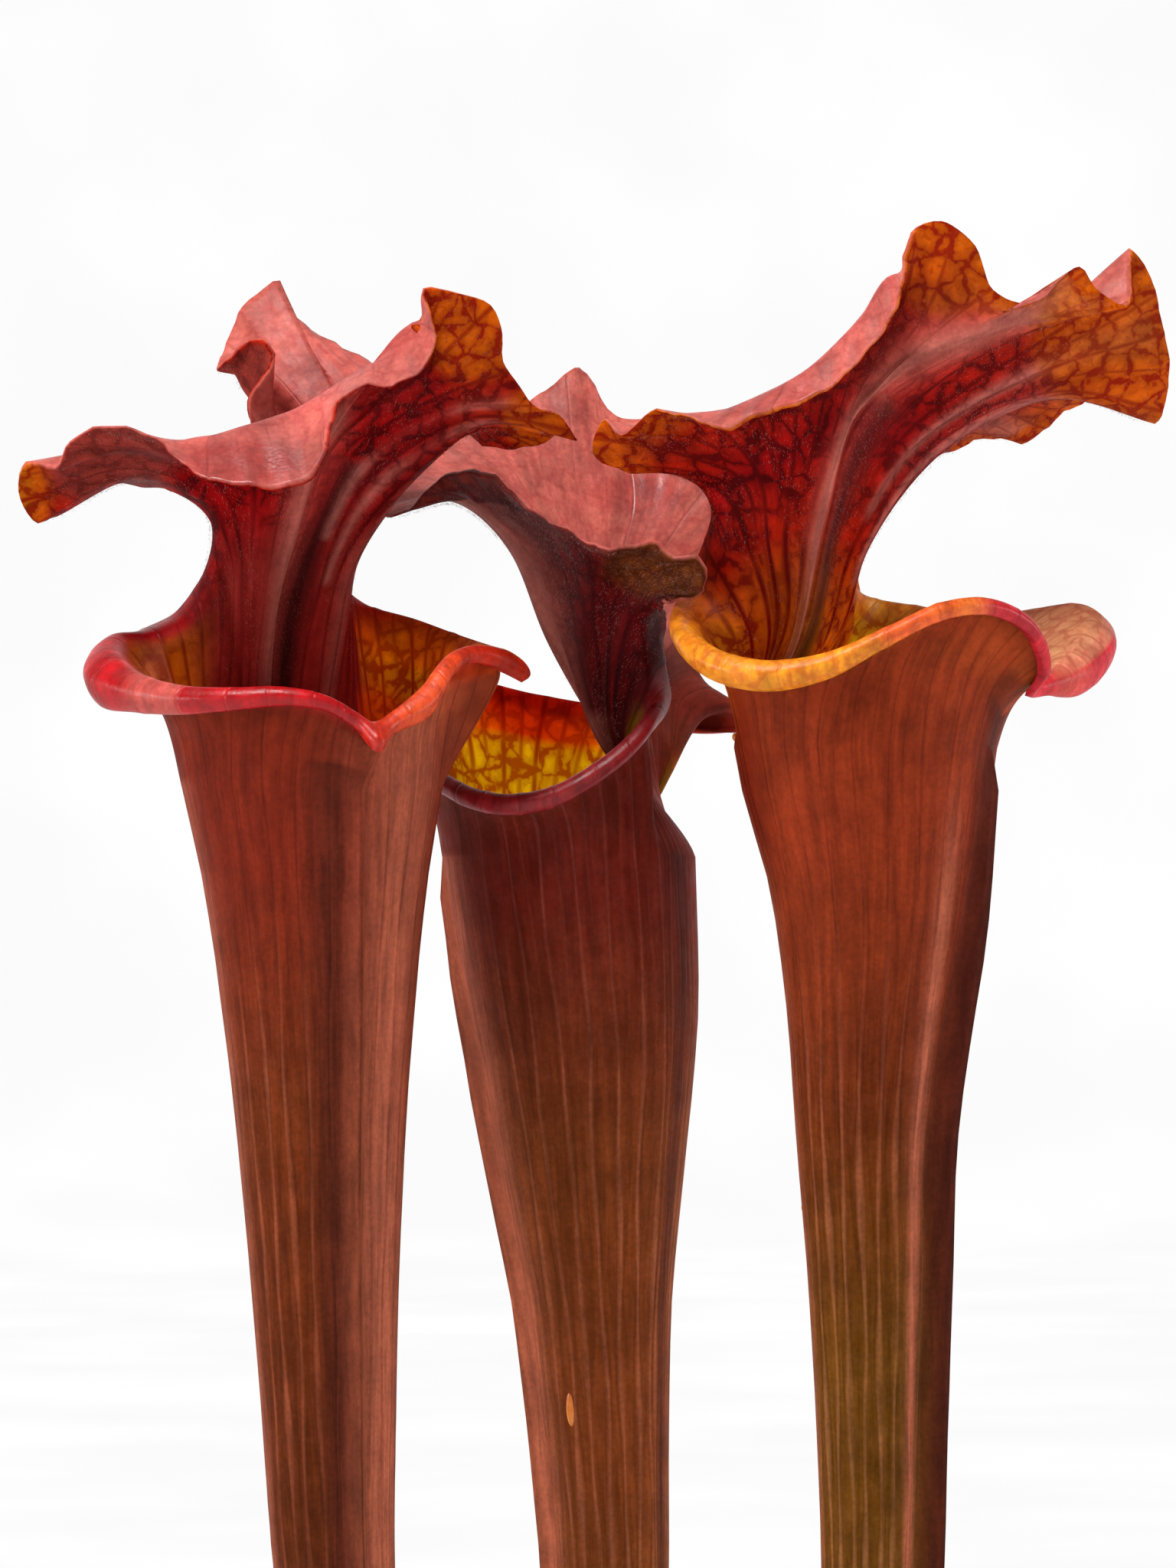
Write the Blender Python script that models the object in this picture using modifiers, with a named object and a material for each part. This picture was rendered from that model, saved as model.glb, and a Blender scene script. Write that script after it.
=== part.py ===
"""A potted yellow pitcher plant: three hollow pitcher leaves on one rhizome, in peat, in a plain pot.

Lengths are millimetres until a mesh is made, and metres in the scene. The origin is the middle of
the pot's base, with x to the right, y away from the viewer and z up. A leaf's table gives heights
from the crown datum, and each point's x and z as seen from VIEW_DISTANCE in front of it.
"""

import math

import bmesh
import bpy
import numpy as np

MM = 0.001
GAP = 0.3  # between nodes that touch
MERGE = 0.01

# Where the leaves' tables are taken from
DATUM_HEIGHT = 463.0
VIEW_DISTANCE = 1500.0

# The leaf sheet: its rows up the tube, then between each pair of a line's points
SHEET = 1.0
TUBE_RIBS, TUBE_RIB_SHARE = 10, 0.012
TUBE_ROWS = 10
CROWN_STEPS = (1, 2, 2, 3, 2)

# A lip line's first point, as shares of the way to the crest, and then radians round the roll
LIP_WALL = (0.32, 0.32, 0.6)
LIP_TURNS = (1.35, 2.7, 3.9)

# The wing down a tube's front: heights where it starts and is full, and how it fades at the throat
WING_START, WING_FULL = -328.0, -296.0
WING_TOP, WING_TOP_LOSS = 45.0, 0.5

# The pot, as half sections of radius and height
POT_HEIGHT, POT_FLOOR, POT_SIDES = 130.0, 2.6, 40
POT_INSIDE = [(0, POT_FLOOR), (55.4, POT_FLOOR), (73.8, 110), (77, 115), (77, 129), (77.7, POT_HEIGHT)]
POT_RIM = [(79.3, POT_HEIGHT), (80, 129.2), (80, 114), (79.3, 113)]
POT_OUTSIDE = [(76.3, 112), (58.4, 1.4), (57, 0), (0, 0)]
DRAIN_HOLES, DRAIN_SIDES, DRAIN_RADIUS, DRAIN_CIRCLE = 6, 16, 4.2, 38.0
DRAIN_OVERRUN = 1.0

# The peat, and the clods of its loose top
SOIL_LEVEL = 116.5
SOIL_WALL_GAP = 0.4
SOIL_RINGS = [10, 20, 31, 42, 54, 66, 76.3]
CLOD_HEIGHT, CLOD_SPACING = 1.1, 30.0

# The rhizome: a lump half sunk in the peat, with a boss under each leaf
RHIZOME_CENTRE = (2.0, 9.5, 110.5)
RHIZOME_HALF = (27.0, 18.5, 8.5)
RHIZOME_SIDES, RHIZOME_RINGS, RHIZOME_LUMPS = 22, 12, 0.05
BOSS_SIDES, BOSS_FOOT, BOSS_SINK, BOSS_MARGIN = 14, 8.0, 2.0, 1.8

# Each leaf opens at "front", an angle round the vertical, and its lines run round it from there,
# "turn" giving the sense. "tube" lists height, centre x, centre y and radius. A line starts with its
# angle at the tube. Five points follow, from the throat to the margin, or the crest and the radius
# of the rolled lip.

LEFT_LEAF = {
    "name": "pitcher_left",
    "front": 22.0,
    "turn": -1,
    "depth": 0.0,
    "throat": -1.0,
    "wing": 4.0,
    "tube": [
        (-338, -11, 6, 5.4),
        (-326, -12.3, 6, 4.7),
        (-308, -16, 5, 5.1),
        (-270, -26, 4, 6.6),
        (-230, -37, 2, 8.2),
        (-190, -44.5, 1, 9.8),
        (-150, -48.6, 0, 11.1),
        (-120, -49.6, 0, 12.4),
        (-90, -50.5, 0, 14.0),
        (-60, -51.2, 0, 16.2),
        (-30, -51.9, 0, 19.35),
        (-15, -52.3, 0, 21.6),
        (0, -52.8, 0, 24.5),
        (8, -53.0, 0, 25.4),
    ],
    "lines": [
        (0, (-41.3, -22.8, 5), (-41.2, -25, 11.3), (-40.6, -28, 10.3),
         (-40.1, -30, 8), (-40.2, -28.8, 6.3)),
        (9, (-44.5, -26, 13.3), 1.1),
        (24, (-50, -27.5, 16.4), 1.0),
        (40, (-58, -28, 18.1), 1.4),
        (58, (-68, -26.5, 18), 1.8),
        (76, (-77.5, -22, 18.4), 2.4),
        (94, (-86, -15, 20.8), 3.4),
        (110, (-91, -7, 25), 5.0),
        (124, (-90, 1, 28.3), 4.0),
        (134, (-80, 3, 20), (-83, 4, 28.5), (-85, 9, 29.2), (-86, 13, 27.8), (-84, 15, 25.5)),
        (142, (-76, 5, 24), (-77, 5, 31), (-78.2, 9, 32.7), (-78.6, 13, 32.2), (-76.5, 16, 31)),
        (148, (-72.5, 7, 26), (-72.6, 5.5, 36), (-73.2, 8, 39), (-73.2, 12, 40), (-70.5, 15, 39.5)),
        (152, (-70.5, 8, 28), (-70.6, 5, 41), (-71.5, 5, 48), (-72.3, 9, 52), (-69.8, 13, 52)),
        (154, (-69.3, 8, 29), (-69.9, 4.5, 43), (-73, 2, 53), (-83, 2, 58), (-92, 7, 58)),
        (156, (-68.5, 7.8, 29.5), (-68.8, 3.8, 44), (-73, -1, 54.5), (-87, -5, 59), (-105.3, -6, 50)),
        (158, (-68, 7.6, 29.8), (-68.3, 3.4, 44.5), (-73, -3, 56), (-89, -8.5, 61), (-109, -9, 56)),
        (160, (-67.5, 7.4, 30), (-67.8, 3, 45), (-72.5, -4.5, 57), (-90, -11, 63.5), (-107.5, -12, 61.3)),
        (162, (-67, 7.2, 30.2), (-67.2, 2.6, 45.4), (-71.5, -5.5, 57.5), (-89, -13, 64), (-102, -16, 60.5)),
        (163.5, (-66.5, 7, 30.4), (-66.6, 2.3, 45.7), (-70.5, -6.3, 58),
         (-86, -14.5, 64.5), (-99, -18, 65.5)),
        (165, (-66, 7, 30.5), (-66, 2, 46), (-69, -7, 58.5), (-82, -15.5, 64.5), (-91.5, -21, 68.4)),
        (166.5, (-65.5, 7, 30.7), (-65.2, 1.7, 46.3), (-67.5, -7.6, 59),
         (-78.5, -16, 64.8), (-84, -23, 66.6)),
        (168, (-65, 7, 30.8), (-64.5, 1.4, 46.6), (-66, -8, 59.5), (-75, -16, 66), (-78, -25, 61.5)),
        (169.5, (-64.7, 7, 31), (-64, 1.2, 46.8), (-64.5, -8.3, 59.8),
         (-71.5, -15, 66.5), (-72.5, -27, 58.2)),
        (171, (-64.4, 7.1, 31), (-63.4, 1, 47), (-62.5, -8.5, 60.2), (-66.5, -13.5, 68), (-65, -28, 57)),
        (172.5, (-64, 7.3, 31), (-62.4, 1, 47.2), (-60.5, -8.5, 60.6),
         (-61.5, -12, 69.5), (-57.5, -27.5, 57)),
        (174, (-63.3, 7.6, 31), (-61.2, 1, 47.5), (-58.5, -8.5, 61),
         (-56, -10.5, 71.5), (-52.3, -26, 59.3)),
        (175.2, (-62.7, 8, 31), (-60, 1.2, 48), (-56.5, -8.3, 61.5), (-51.5, -9.5, 74), (-50.3, -24, 65)),
        (176.4, (-62.2, 8.4, 31), (-59, 1.4, 48), (-55, -8, 62), (-47.5, -9, 76.5), (-48.7, -22, 71.5)),
        (177.6, (-61.7, 8.9, 31), (-58.2, 1.6, 48), (-54, -7.8, 62.5), (-43.5, -9, 79), (-43.5, -20, 76)),
        (178.8, (-61.3, 9.4, 31), (-57.5, 2, 48), (-53, -7.5, 63), (-39, -9, 81.5), (-37.5, -18.5, 76.2)),
        (180, (-61.1, 9.8, 31), (-57, 2.3, 48), (-52, -7, 63.5), (-35.5, -8.5, 85), (-31.5, -16, 79.3)),
        (181, (-60.9, 10.2, 31), (-56.6, 2.6, 48), (-51, -6.6, 64), (-33.5, -8, 88), (-29.2, -14, 86)),
        (182, (-60.7, 10.6, 31), (-56.2, 2.9, 48), (-50.3, -6.3, 64.3),
         (-32, -7.5, 87), (-31, -11.5, 94.6)),
        (183, (-60.5, 11, 31), (-55.9, 3.2, 48), (-49.6, -6, 64.5), (-31, -7.5, 83), (-25, -9.5, 93.9)),
        (184, (-60.2, 11.5, 31), (-55.6, 3.6, 48), (-49, -5.8, 64.6), (-30, -7.5, 80), (-18.5, -8, 91.5)),
        (185, (-59.8, 12.2, 30.5), (-55, 5, 48), (-47.5, -4, 64.2), (-29, -7, 77.5), (-16.4, -7, 86)),
        (186.5, (-58.5, 14, 30.5), (-53.5, 7, 47.5), (-45.5, -2, 63.5),
         (-27.5, -6, 75.5), (-16.3, -6.5, 81)),
        (188, (-57, 14.6, 30.2), (-52, 7.6, 47), (-43.8, -0.5, 62.5), (-26, -5, 73.5), (-13, -5, 76)),
        (190, (-55.5, 15, 30), (-50.5, 7.8, 46.5), (-42, 0, 61.5), (-24.5, -4, 72), (-10.5, -4, 72.5)),
        (192, (-54.2, 15.2, 29.7), (-49.3, 8, 46), (-40.5, 0.6, 60.5), (-23, -3, 71), (-5.5, -3, 70.6)),
        (194, (-53, 15.4, 29.5), (-48.2, 8.4, 45.5), (-39, 1.2, 59.5), (-21.5, -1.5, 70), (-2.2, -2, 65.5)),
        (196, (-51.8, 15.7, 29.2), (-47.3, 9, 45), (-37.8, 2.2, 58.5), (-20.5, 0.5, 69), (-5, 1, 67.5)),
        (198, (-50.6, 16.1, 29), (-46.4, 9.7, 44.5), (-36.8, 3.6, 57.5), (-20, 3, 68.2), (-8, 5, 65.5)),
        (200, (-49.6, 16.6, 29), (-45.7, 10.6, 44), (-36, 5.4, 57), (-20.5, 5.5, 68), (-14, 9, 64)),
        (202, (-48.7, 17.1, 29), (-45.2, 11.6, 43.5), (-35.5, 7.5, 56.5), (-22, 9, 67.5), (-21, 16, 65.5)),
        (204, (-48, 17.7, 29), (-45, 12.7, 43), (-35.5, 9.8, 56.5), (-25, 13, 67), (-26, 25, 70)),
        (206, (-47.4, 18.3, 29), (-44.8, 13.8, 42.5), (-36, 12, 56), (-29, 17, 67.5), (-33, 33, 76)),
        (208, (-47, 18.8, 29), (-44.8, 15, 42), (-37, 14.2, 56), (-34, 21, 69), (-41, 38, 80)),
        (210, (-46.7, 19.3, 29), (-44.9, 16.2, 41.5), (-38.5, 16.2, 55.5), (-39, 24, 71), (-50, 41, 85)),
        (212, (-46.5, 19.8, 29), (-45, 17.3, 41), (-40, 18, 55), (-44, 26, 72), (-58, 43, 89.8)),
        (213.5, (-46.3, 20.2, 29), (-45.2, 18.2, 40.8), (-41.5, 19.3, 54.5),
         (-48, 27.5, 72.5), (-59.4, 44, 95.7)),
        (215, (-46.2, 20.6, 29), (-45.4, 19, 40.6), (-43, 20.4, 54), (-51.5, 28.2, 72), (-63, 43.5, 94)),
        (216.5, (-46.1, 21, 29), (-45.6, 19.8, 40.3), (-44.5, 21.4, 53.5),
         (-54.5, 28.4, 70.5), (-68.5, 41, 84)),
        (218, (-46, 21.3, 29), (-45.8, 20.5, 40), (-45.8, 22.2, 53), (-56.5, 27.8, 68), (-72, 38, 76.5)),
        (220, (-45.9, 21.7, 29), (-46, 21.2, 39.6), (-47, 23, 52), (-56.5, 27, 65), (-65.3, 33, 74)),
        (222.5, (-45.7, 22.2, 28.7), (-46.2, 22, 39), (-47.8, 23.8, 50),
         (-54.5, 26.5, 60), (-61, 30.5, 66)),
        (226, (-45.2, 23, 28), (-46, 23, 37.5), (-48, 25, 45), (-51.5, 27.5, 51), (-53, 31, 52)),
        (232, (-44.2, 24, 26.5), (-45.3, 25.5, 34.5), (-48, 28.5, 38.5),
         (-49.5, 31.5, 38), (-48, 33, 35.5)),
        (240, (-41, 28.5, 33.2), 1.8),
        (254, (-34, 27.5, 31.3), 1.6),
        (270, (-26, 21, 28.4), 1.5),
        (286, (-19.5, 10, 26.2), 1.4),
        (298, (-17.5, 1, 20), (-17, 1, 25.3), (-12.8, 2, 23.3), (-11.5, 2.2, 21), (-13, 2, 19.8)),
        (308, (-21.5, -6.5, 26.1), 1.3),
        (322, (-26.5, -13.5, 24.3), 1.5),
        (336, (-31.5, -19.5, 18.2), 2.6),
        (350, (-37.3, -24, 13.4), 1.6),
    ],
}

MIDDLE_LEAF = {
    "name": "pitcher_middle",
    "front": -88.0,
    "turn": 1,
    "depth": 42.0,
    "throat": -14.0,
    "wing": 3.0,
    "tube": [
        (-338, 3, -25, 5.4),
        (-326, 3.2, -24.5, 4.7),
        (-308, 3.6, -21, 5.2),
        (-270, 4.4, -13, 6.4),
        (-230, 5.0, -6, 7.9),
        (-190, 5.0, -2, 9.3),
        (-150, 4.7, 0, 10.3),
        (-126, 3.6, 0, 11.4),
        (-100, 2.3, 0, 13.2),
        (-73, 0.8, 0, 17.2),
        (-50, -0.2, 0, 20.4),
        (-40, -1.2, 0, 21.9),
        (-11, -3.8, 0, 23.8),
        (-4, -4.4, 0, 24.2),
    ],
    "lines": [
        (0, (-34.5, -1, 3), 1.2),
        (12, (-33.5, -8, 3.3), 1.3),
        (32, (-28, -17, 1.8), 1.5),
        (52, (-22, -23.5, -1.2), 1.6),
        (70, (-15, -27, -2.4), 1.6),
        (88, (-7, -28, -1), 1.6),
        (104, (1, -27, 3.3), 1.6),
        (118, (7, -25, 8), 1.6),
        (130, (11, -22.5, 12.5), 1.5),
        (138, (8, -18, 5), (12, -19, 14.5), (14, -17, 17), (15.5, -13, 16.5), (14.5, -10, 15)),
        (146, (7.5, -18, 8), (10.5, -19.5, 18), (12, -19.5, 22), (14, -16, 23.5), (14, -12, 23)),
        (152, (7, -17.5, 8.5), (8.8, -20.5, 21), (10.8, -23, 27.5), (13, -20.5, 31), (15, -17, 31.5)),
        (154, (6.7, -17, 8.7), (7.8, -20.5, 22.5), (10, -24.5, 30), (13, -28.5, 33.4), (14, -35, 34.3)),
        (155.5, (6.5, -16.9, 8.7), (7.4, -20.4, 23), (9.5, -25, 31), (13.7, -35, 35), (17, -48, 35.4)),
        (157, (6.4, -16.7, 8.8), (7, -20.2, 23.5), (9, -25.5, 32), (14, -37, 36.5), (21.8, -51, 37)),
        (159, (6.1, -16.4, 9), (6.2, -20, 24), (8, -26, 33.5), (13.5, -39, 39), (22.4, -55, 41)),
        (161, (5.8, -16, 9), (5.5, -19.5, 24.5), (7, -26, 34.5), (12.5, -39.5, 41), (21, -56, 43.6)),
        (162.5, (5.5, -15.7, 9), (4.8, -19.2, 25), (6, -26, 35.5), (10.5, -39, 42), (17.5, -55, 42.8)),
        (164, (5.2, -15.4, 9), (4, -18.8, 25.3), (5, -25.7, 36), (8.5, -38, 43), (12.5, -52.5, 46.4)),
        (166, (4.9, -14.9, 9), (3.2, -18.2, 25.6), (3.7, -25.2, 36.8), (5.5, -36.8, 43), (7, -49, 45)),
        (168, (4.6, -14.4, 9), (2.3, -17.5, 26), (2.2, -24.5, 37.6), (2.5, -35.5, 44), (2, -45.5, 45.3)),
        (170, (4.3, -13.7, 9), (1.4, -16.7, 26.4), (0.6, -23.5, 38.5), (-1, -34, 45.3), (-3, -42, 48)),
        (172, (4, -13, 9), (0.4, -15.7, 26.7), (-1.3, -22.2, 39.6), (-4.8, -32, 47), (-8.5, -39, 50.5)),
        (174, (3.7, -12.2, 9), (-0.7, -14.5, 27), (-3.3, -20.8, 40.8),
         (-8.8, -29.5, 49.5), (-13.5, -35.5, 54.5)),
        (176, (3.4, -11.2, 9), (-1.9, -13.1, 27.3), (-5.5, -19.1, 42),
         (-12.7, -26.5, 51.8), (-17.5, -31, 58.3)),
        (178, (3.2, -10.3, 9), (-3, -11.7, 27.6), (-7.8, -17, 43.2), (-16.3, -22.5, 53), (-22, -25.5, 60)),
        (180, (3, -9.4, 9), (-4, -10.2, 27.8), (-10, -14.6, 44.5), (-19.6, -18, 53.6), (-27.5, -20, 58.8)),
        (182, (2.9, -8.4, 9), (-5, -8.7, 27.8), (-12, -12.3, 45), (-22.5, -14.5, 54), (-32, -15.5, 55)),
        (184, (2.9, -7.5, 8.8), (-5.9, -7, 27.6), (-13.6, -9.8, 45.2),
         (-24.8, -11.5, 54), (-35, -12, 51.8)),
        (186, (3, -6.3, 8.7), (-6.6, -5.2, 27.3), (-14.6, -7.2, 45), (-26, -8.5, 54), (-38.5, -8.5, 51.3)),
        (188, (3.2, -5, 8.6), (-6.8, -3.2, 27), (-14.8, -4.6, 45), (-26.4, -5.5, 54.5), (-41, -4, 52.5)),
        (190, (3.6, -3.5, 8.6), (-6.5, -1.2, 27), (-14.2, -2, 45.3), (-26, -1.5, 55.5), (-41, 2, 56)),
        (192, (4, -2, 8.6), (-5.8, 0.8, 27), (-13, 0.7, 45.8), (-25, 2.5, 57), (-38, 8, 60)),
        (194.5, (4.6, -0.2, 8.7), (-4.7, 2.7, 27), (-11.2, 3.2, 46.3), (-22.5, 6, 58.8), (-33, 14, 64)),
        (197, (5.3, 1.5, 8.8), (-3.3, 4.4, 27), (-9, 5.5, 46.6), (-18.5, 9.8, 60), (-26, 20, 68)),
        (199.5, (6, 3, 8.9), (-1.8, 5.9, 27), (-6.5, 7.5, 46.5), (-13.5, 12.7, 60.5), (-18, 24.5, 70.5)),
        (202, (6.8, 4.3, 9), (-0.2, 7.2, 27), (-3.8, 9.2, 46), (-8.5, 15, 60), (-11, 28, 73.3)),
        (204, (7.5, 5.5, 9.1), (1.4, 8.1, 27), (-1.2, 10.4, 45.3), (-4, 16.5, 59), (-5.5, 30.5, 77)),
        (206, (8.3, 6.5, 9.2), (3, 8.9, 27), (1.2, 11.3, 44.5), (0, 17.5, 57.5), (-1.8, 32, 79.6)),
        (208, (9, 7.4, 9.3), (4.3, 9.5, 27), (3.4, 12, 43.5), (3.8, 18, 56), (1.8, 31.5, 75)),
        (210, (9.8, 8.2, 9.5), (5.5, 10, 27), (5.5, 12.4, 42.4), (7.5, 18, 54), (4.5, 30, 70.5)),
        (212.5, (10.4, 9, 9.8), (6.8, 10.4, 27), (7.6, 12.6, 41), (11.5, 17.5, 52), (13, 29, 69)),
        (215, (11, 9.6, 10), (8, 10.8, 26.8), (9.5, 12.7, 39.6), (14.8, 16.5, 49.5), (21.5, 26.5, 64)),
        (217.5, (11.6, 10.2, 10), (9, 11.2, 26.5), (11, 12.8, 37.8), (17, 15.5, 46), (28, 22, 56)),
        (220, (12.2, 10.7, 10), (10, 11.8, 26), (12.3, 13.5, 36), (18.5, 15.5, 42), (29.5, 19, 47.5)),
        (223, (12.8, 11.3, 9.6), (11, 12.6, 25), (13.5, 14.5, 33), (18, 17, 37), (24, 19, 39)),
        (227, (13.5, 12, 9), (12.3, 13.8, 22.5), (14.8, 16, 28), (17.5, 19, 30), (19, 21.5, 29)),
        (232, (15, 13, 7), (15.5, 15.5, 17.5), (19, 18.5, 20), (22, 21.5, 19.5), (22.5, 23, 17.5)),
        (238, (15.5, 14.5, 2), (22, 17.5, 13), (28, 19, 14.5), (30.5, 20.5, 12.8), (29, 21.5, 10.5)),
        (252, (14, 25, 14.5), 2.2),
        (268, (3, 28.5, 14.6), 1.8),
        (288, (-10, 28, 16.7), 1.6),
        (308, (-22, 23, 19), 1.5),
        (328, (-31, 14, 16), 1.5),
        (348, (-34.5, 5, 8), 1.3),
    ],
}

RIGHT_LEAF = {
    "name": "pitcher_right",
    "front": 72.0,
    "turn": -1,
    "depth": 0.0,
    "throat": 7.0,
    "wing": 5.0,
    "tube": [
        (-338, 15, 3, 5.4),
        (-326, 16.8, 3, 4.7),
        (-308, 21, 3, 5.0),
        (-270, 33.5, 2, 6.1),
        (-230, 46.0, 1, 7.6),
        (-190, 52.8, 0, 8.7),
        (-150, 54.2, 0, 9.1),
        (-119, 54.1, 0, 10.1),
        (-94, 53.8, 0, 11.3),
        (-70, 53.2, 0, 12.7),
        (-45, 54.0, 0, 15.3),
        (-21, 54.5, 0, 19.0),
        (3.5, 53.1, 0, 24.1),
        (12, 53.2, 0, 25.4),
    ],
    "lines": [
        (0, (84.5, -8, 19.5), 1.2),
        (8, (87.0, -12, 23.5), 1.3),
        (22, (84.5, -17, 31), 1.2),
        (40, (77, -22, 35), 1.2),
        (60, (68, -26, 34.4), 1.3),
        (78, (57, -28.5, 29.5), 1.5),
        (96, (46, -29, 24.8), 2.2),
        (114, (35, -27, 23.2), 2.6),
        (128, (26, -22, 24.8), 2.6),
        (138, (20.5, -15, 28), 2.4),
        (145, (26, -8, 21), (20, -6, 30.5), (16.8, 1, 32.8), (16.3, 6, 32), (17.5, 8, 29.8)),
        (150, (30, -6, 25), (24.5, -2, 36), (21, 5, 39.5), (20.5, 10, 40), (23, 12, 39)),
        (154, (32.5, -6, 28), (27.5, -5, 42), (24.5, 0, 49), (24, 5, 52), (27, 9, 52)),
        (157, (34, -5.5, 29.5), (29.5, -5, 44), (25, -4, 54), (20, -1, 58), (16, 5, 60)),
        (160, (34.7, -5.2, 30.5), (31.5, -5, 45), (27.5, -6, 57), (17, -7, 61), (6, -4, 61)),
        (162, (35.2, -5, 31), (33, -5, 46), (30, -7, 59), (20, -11, 65), (6, -11, 65)),
        (164, (35.7, -4.8, 31), (34.3, -5.2, 46.5), (32, -8, 60), (24, -14, 68), (12, -17, 71)),
        (166, (36.2, -4.5, 31), (35.5, -5.5, 47), (34, -8.5, 61), (28, -16, 71), (20, -22, 70)),
        (168, (36.7, -4.1, 31), (36.7, -5.8, 47.5), (36, -9, 62), (31, -17, 73), (26, -25, 67.8)),
        (170, (37.2, -3.5, 31), (37.8, -6, 48), (38.5, -9.3, 63), (37, -17, 75.8), (32.5, -25, 71)),
        (172, (37.7, -2.8, 30.5), (39, -6, 48.5), (41, -9.5, 64.5), (42, -15.5, 79), (40, -23, 72.8)),
        (174, (38.2, -2, 30), (40.3, -5.8, 49), (43.5, -9.5, 66), (47, -14, 83.5), (47, -22, 76.5)),
        (176, (38.7, -1, 29.5), (41.5, -5.5, 49), (46, -9.3, 67.5), (53, -12, 90), (55, -19, 84.5)),
        (178, (39, 0, 29), (42.5, -5.3, 49), (48, -9, 69), (58, -10, 97), (59.8, -15, 94)),
        (180, (39.2, 0.8, 28.5), (43.2, -5, 49), (49.5, -8.8, 70), (61.5, -9, 95), (62, -10, 105.5)),
        (181, (39.4, 1.4, 28.3), (43.8, -4.8, 49), (50.5, -8.6, 71), (64.5, -9, 93), (67.5, -8, 107.7)),
        (182, (39.6, 2, 28), (44.2, -4.5, 49), (51.5, -8.4, 71.5), (67.5, -9, 91), (74, -8, 103)),
        (183, (39.8, 2.6, 27.7), (44.6, -4.2, 49), (52.3, -8.2, 72), (70, -9, 89), (77.5, -8, 94.5)),
        (184, (40, 3.4, 27.5), (45, -3.8, 49), (53, -8, 72.3), (73, -9, 87.5), (85, -6, 92)),
        (185.5, (40.3, 4.5, 27.3), (45.4, -3, 49), (53.8, -7.5, 72.3), (76, -8, 86.8), (94, -3, 99)),
        (187, (41, 6, 27), (46.4, 0, 48.5), (55.5, -3.5, 71), (78, -4.5, 85.5), (97, -4, 95)),
        (189, (42, 8, 27), (47.6, 2.5, 48), (57.5, 0, 69), (81.5, -1.5, 85.5), (103, -6, 91.5)),
        (191, (43, 9.5, 27), (48.6, 4, 47.5), (59.3, 1.5, 67.5), (85, 1, 86), (104, 3, 102)),
        (193, (44, 11, 27.3), (49.6, 5, 47), (61, 2.5, 66), (87, 3, 83.5), (107.5, 7, 97)),
        (195, (45, 12.5, 27.7), (50.6, 6, 46.5), (62.5, 4, 65), (88.5, 6, 80.5), (109.8, 11, 88)),
        (197, (46, 13.5, 28.2), (51.5, 7, 46), (64, 5.5, 64), (89, 9.5, 77.5), (111.2, 16, 79)),
        (199, (47, 15, 29), (52.2, 8.5, 45.5), (65, 7.5, 63), (88, 14, 75), (108.5, 23, 69.3)),
        (201, (47.8, 16, 30), (52.8, 10, 45), (65.5, 10, 62), (85, 18.5, 73.5), (99, 29, 74.5)),
        (203, (48.5, 17, 31), (53, 11.5, 44.5), (65, 12.5, 61), (80, 22, 72.5), (91.2, 35, 71)),
        (206, (49, 18, 32), (52.7, 13, 44), (63, 15, 60), (73.5, 23, 69.5), (84, 38, 65.6)),
        (209, (49.3, 19, 32.5), (52, 15, 43.5), (60, 17, 57), (66, 22, 64.8), (75, 33, 66)),
        (213, (49.5, 20, 32.5), (51.5, 17, 42), (54.2, 19.5, 50), (56.5, 22.5, 55), (57.5, 28, 56.5)),
        (218, (50, 22.5, 29), (49.8, 20.5, 37.5), (50.2, 23, 42), (51, 26, 43), (50.5, 29, 41)),
        (226, (55, 30, 35), 2.0),
        (244, (64, 32, 33.5), 2.0),
        (264, (75, 31, 31.5), 2.2),
        (284, (85, 28, 33), 3.0),
        (304, (94, 20, 34), 4.5),
        (322, (96, 11, 31), 5.0),
        (338, (92, 3, 25), 4.0),
        (352, (87.5, -4, 20.5), 1.6),
    ],
}

LEAVES = (LEFT_LEAF, MIDDLE_LEAF, RIGHT_LEAF)

# Colour, roughness and metallic
FINISHES = {
    "pitcher_left": ((0.30, 0.045, 0.030), 0.42, 0.0),
    "pitcher_middle": ((0.24, 0.040, 0.028), 0.42, 0.0),
    "pitcher_right": ((0.33, 0.060, 0.022), 0.42, 0.0),
    "rhizome": ((0.16, 0.075, 0.035), 0.8, 0.0),
    "soil": ((0.045, 0.026, 0.016), 0.95, 0.0),
    "pot": ((0.035, 0.035, 0.037), 0.55, 0.0),
}


def catmull(points, t, closed):
    """Points on a Catmull-Rom curve through the rows of points, at the index values t."""
    count = len(points)
    base = np.floor(t).astype(int)
    if not closed:
        base = np.clip(base, 0, count - 2)
    f = (t - base).reshape((-1,) + (1,) * (points.ndim - 1))
    around = [base - 1, base, base + 1, base + 2]
    if closed:
        p = [points[i % count] for i in around]
    else:
        p = [points[np.clip(i, 0, count - 1)] for i in around]
        p[0] = np.where((around[0] < 0).reshape(f.shape), 2 * p[1] - p[2], p[0])
        p[3] = np.where((around[3] > count - 1).reshape(f.shape), 2 * p[2] - p[1], p[3])
    return 0.5 * (
        2 * p[1]
        + (p[2] - p[0]) * f
        + (2 * p[0] - 5 * p[1] + 4 * p[2] - p[3]) * f**2
        + (3 * p[1] - p[0] - 3 * p[2] + p[3]) * f**3
    )


def smooth_step(x):
    x = np.clip(x, 0, 1)
    return x * x * (3 - 2 * x)


def heading(degrees, leaf):
    """The horizontal direction at an angle round the tube from its front."""
    angle = np.radians(leaf["front"] + leaf["turn"] * np.asarray(degrees, float))
    return np.stack([np.sin(angle), -np.cos(angle), np.zeros_like(angle)], axis=-1)


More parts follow.
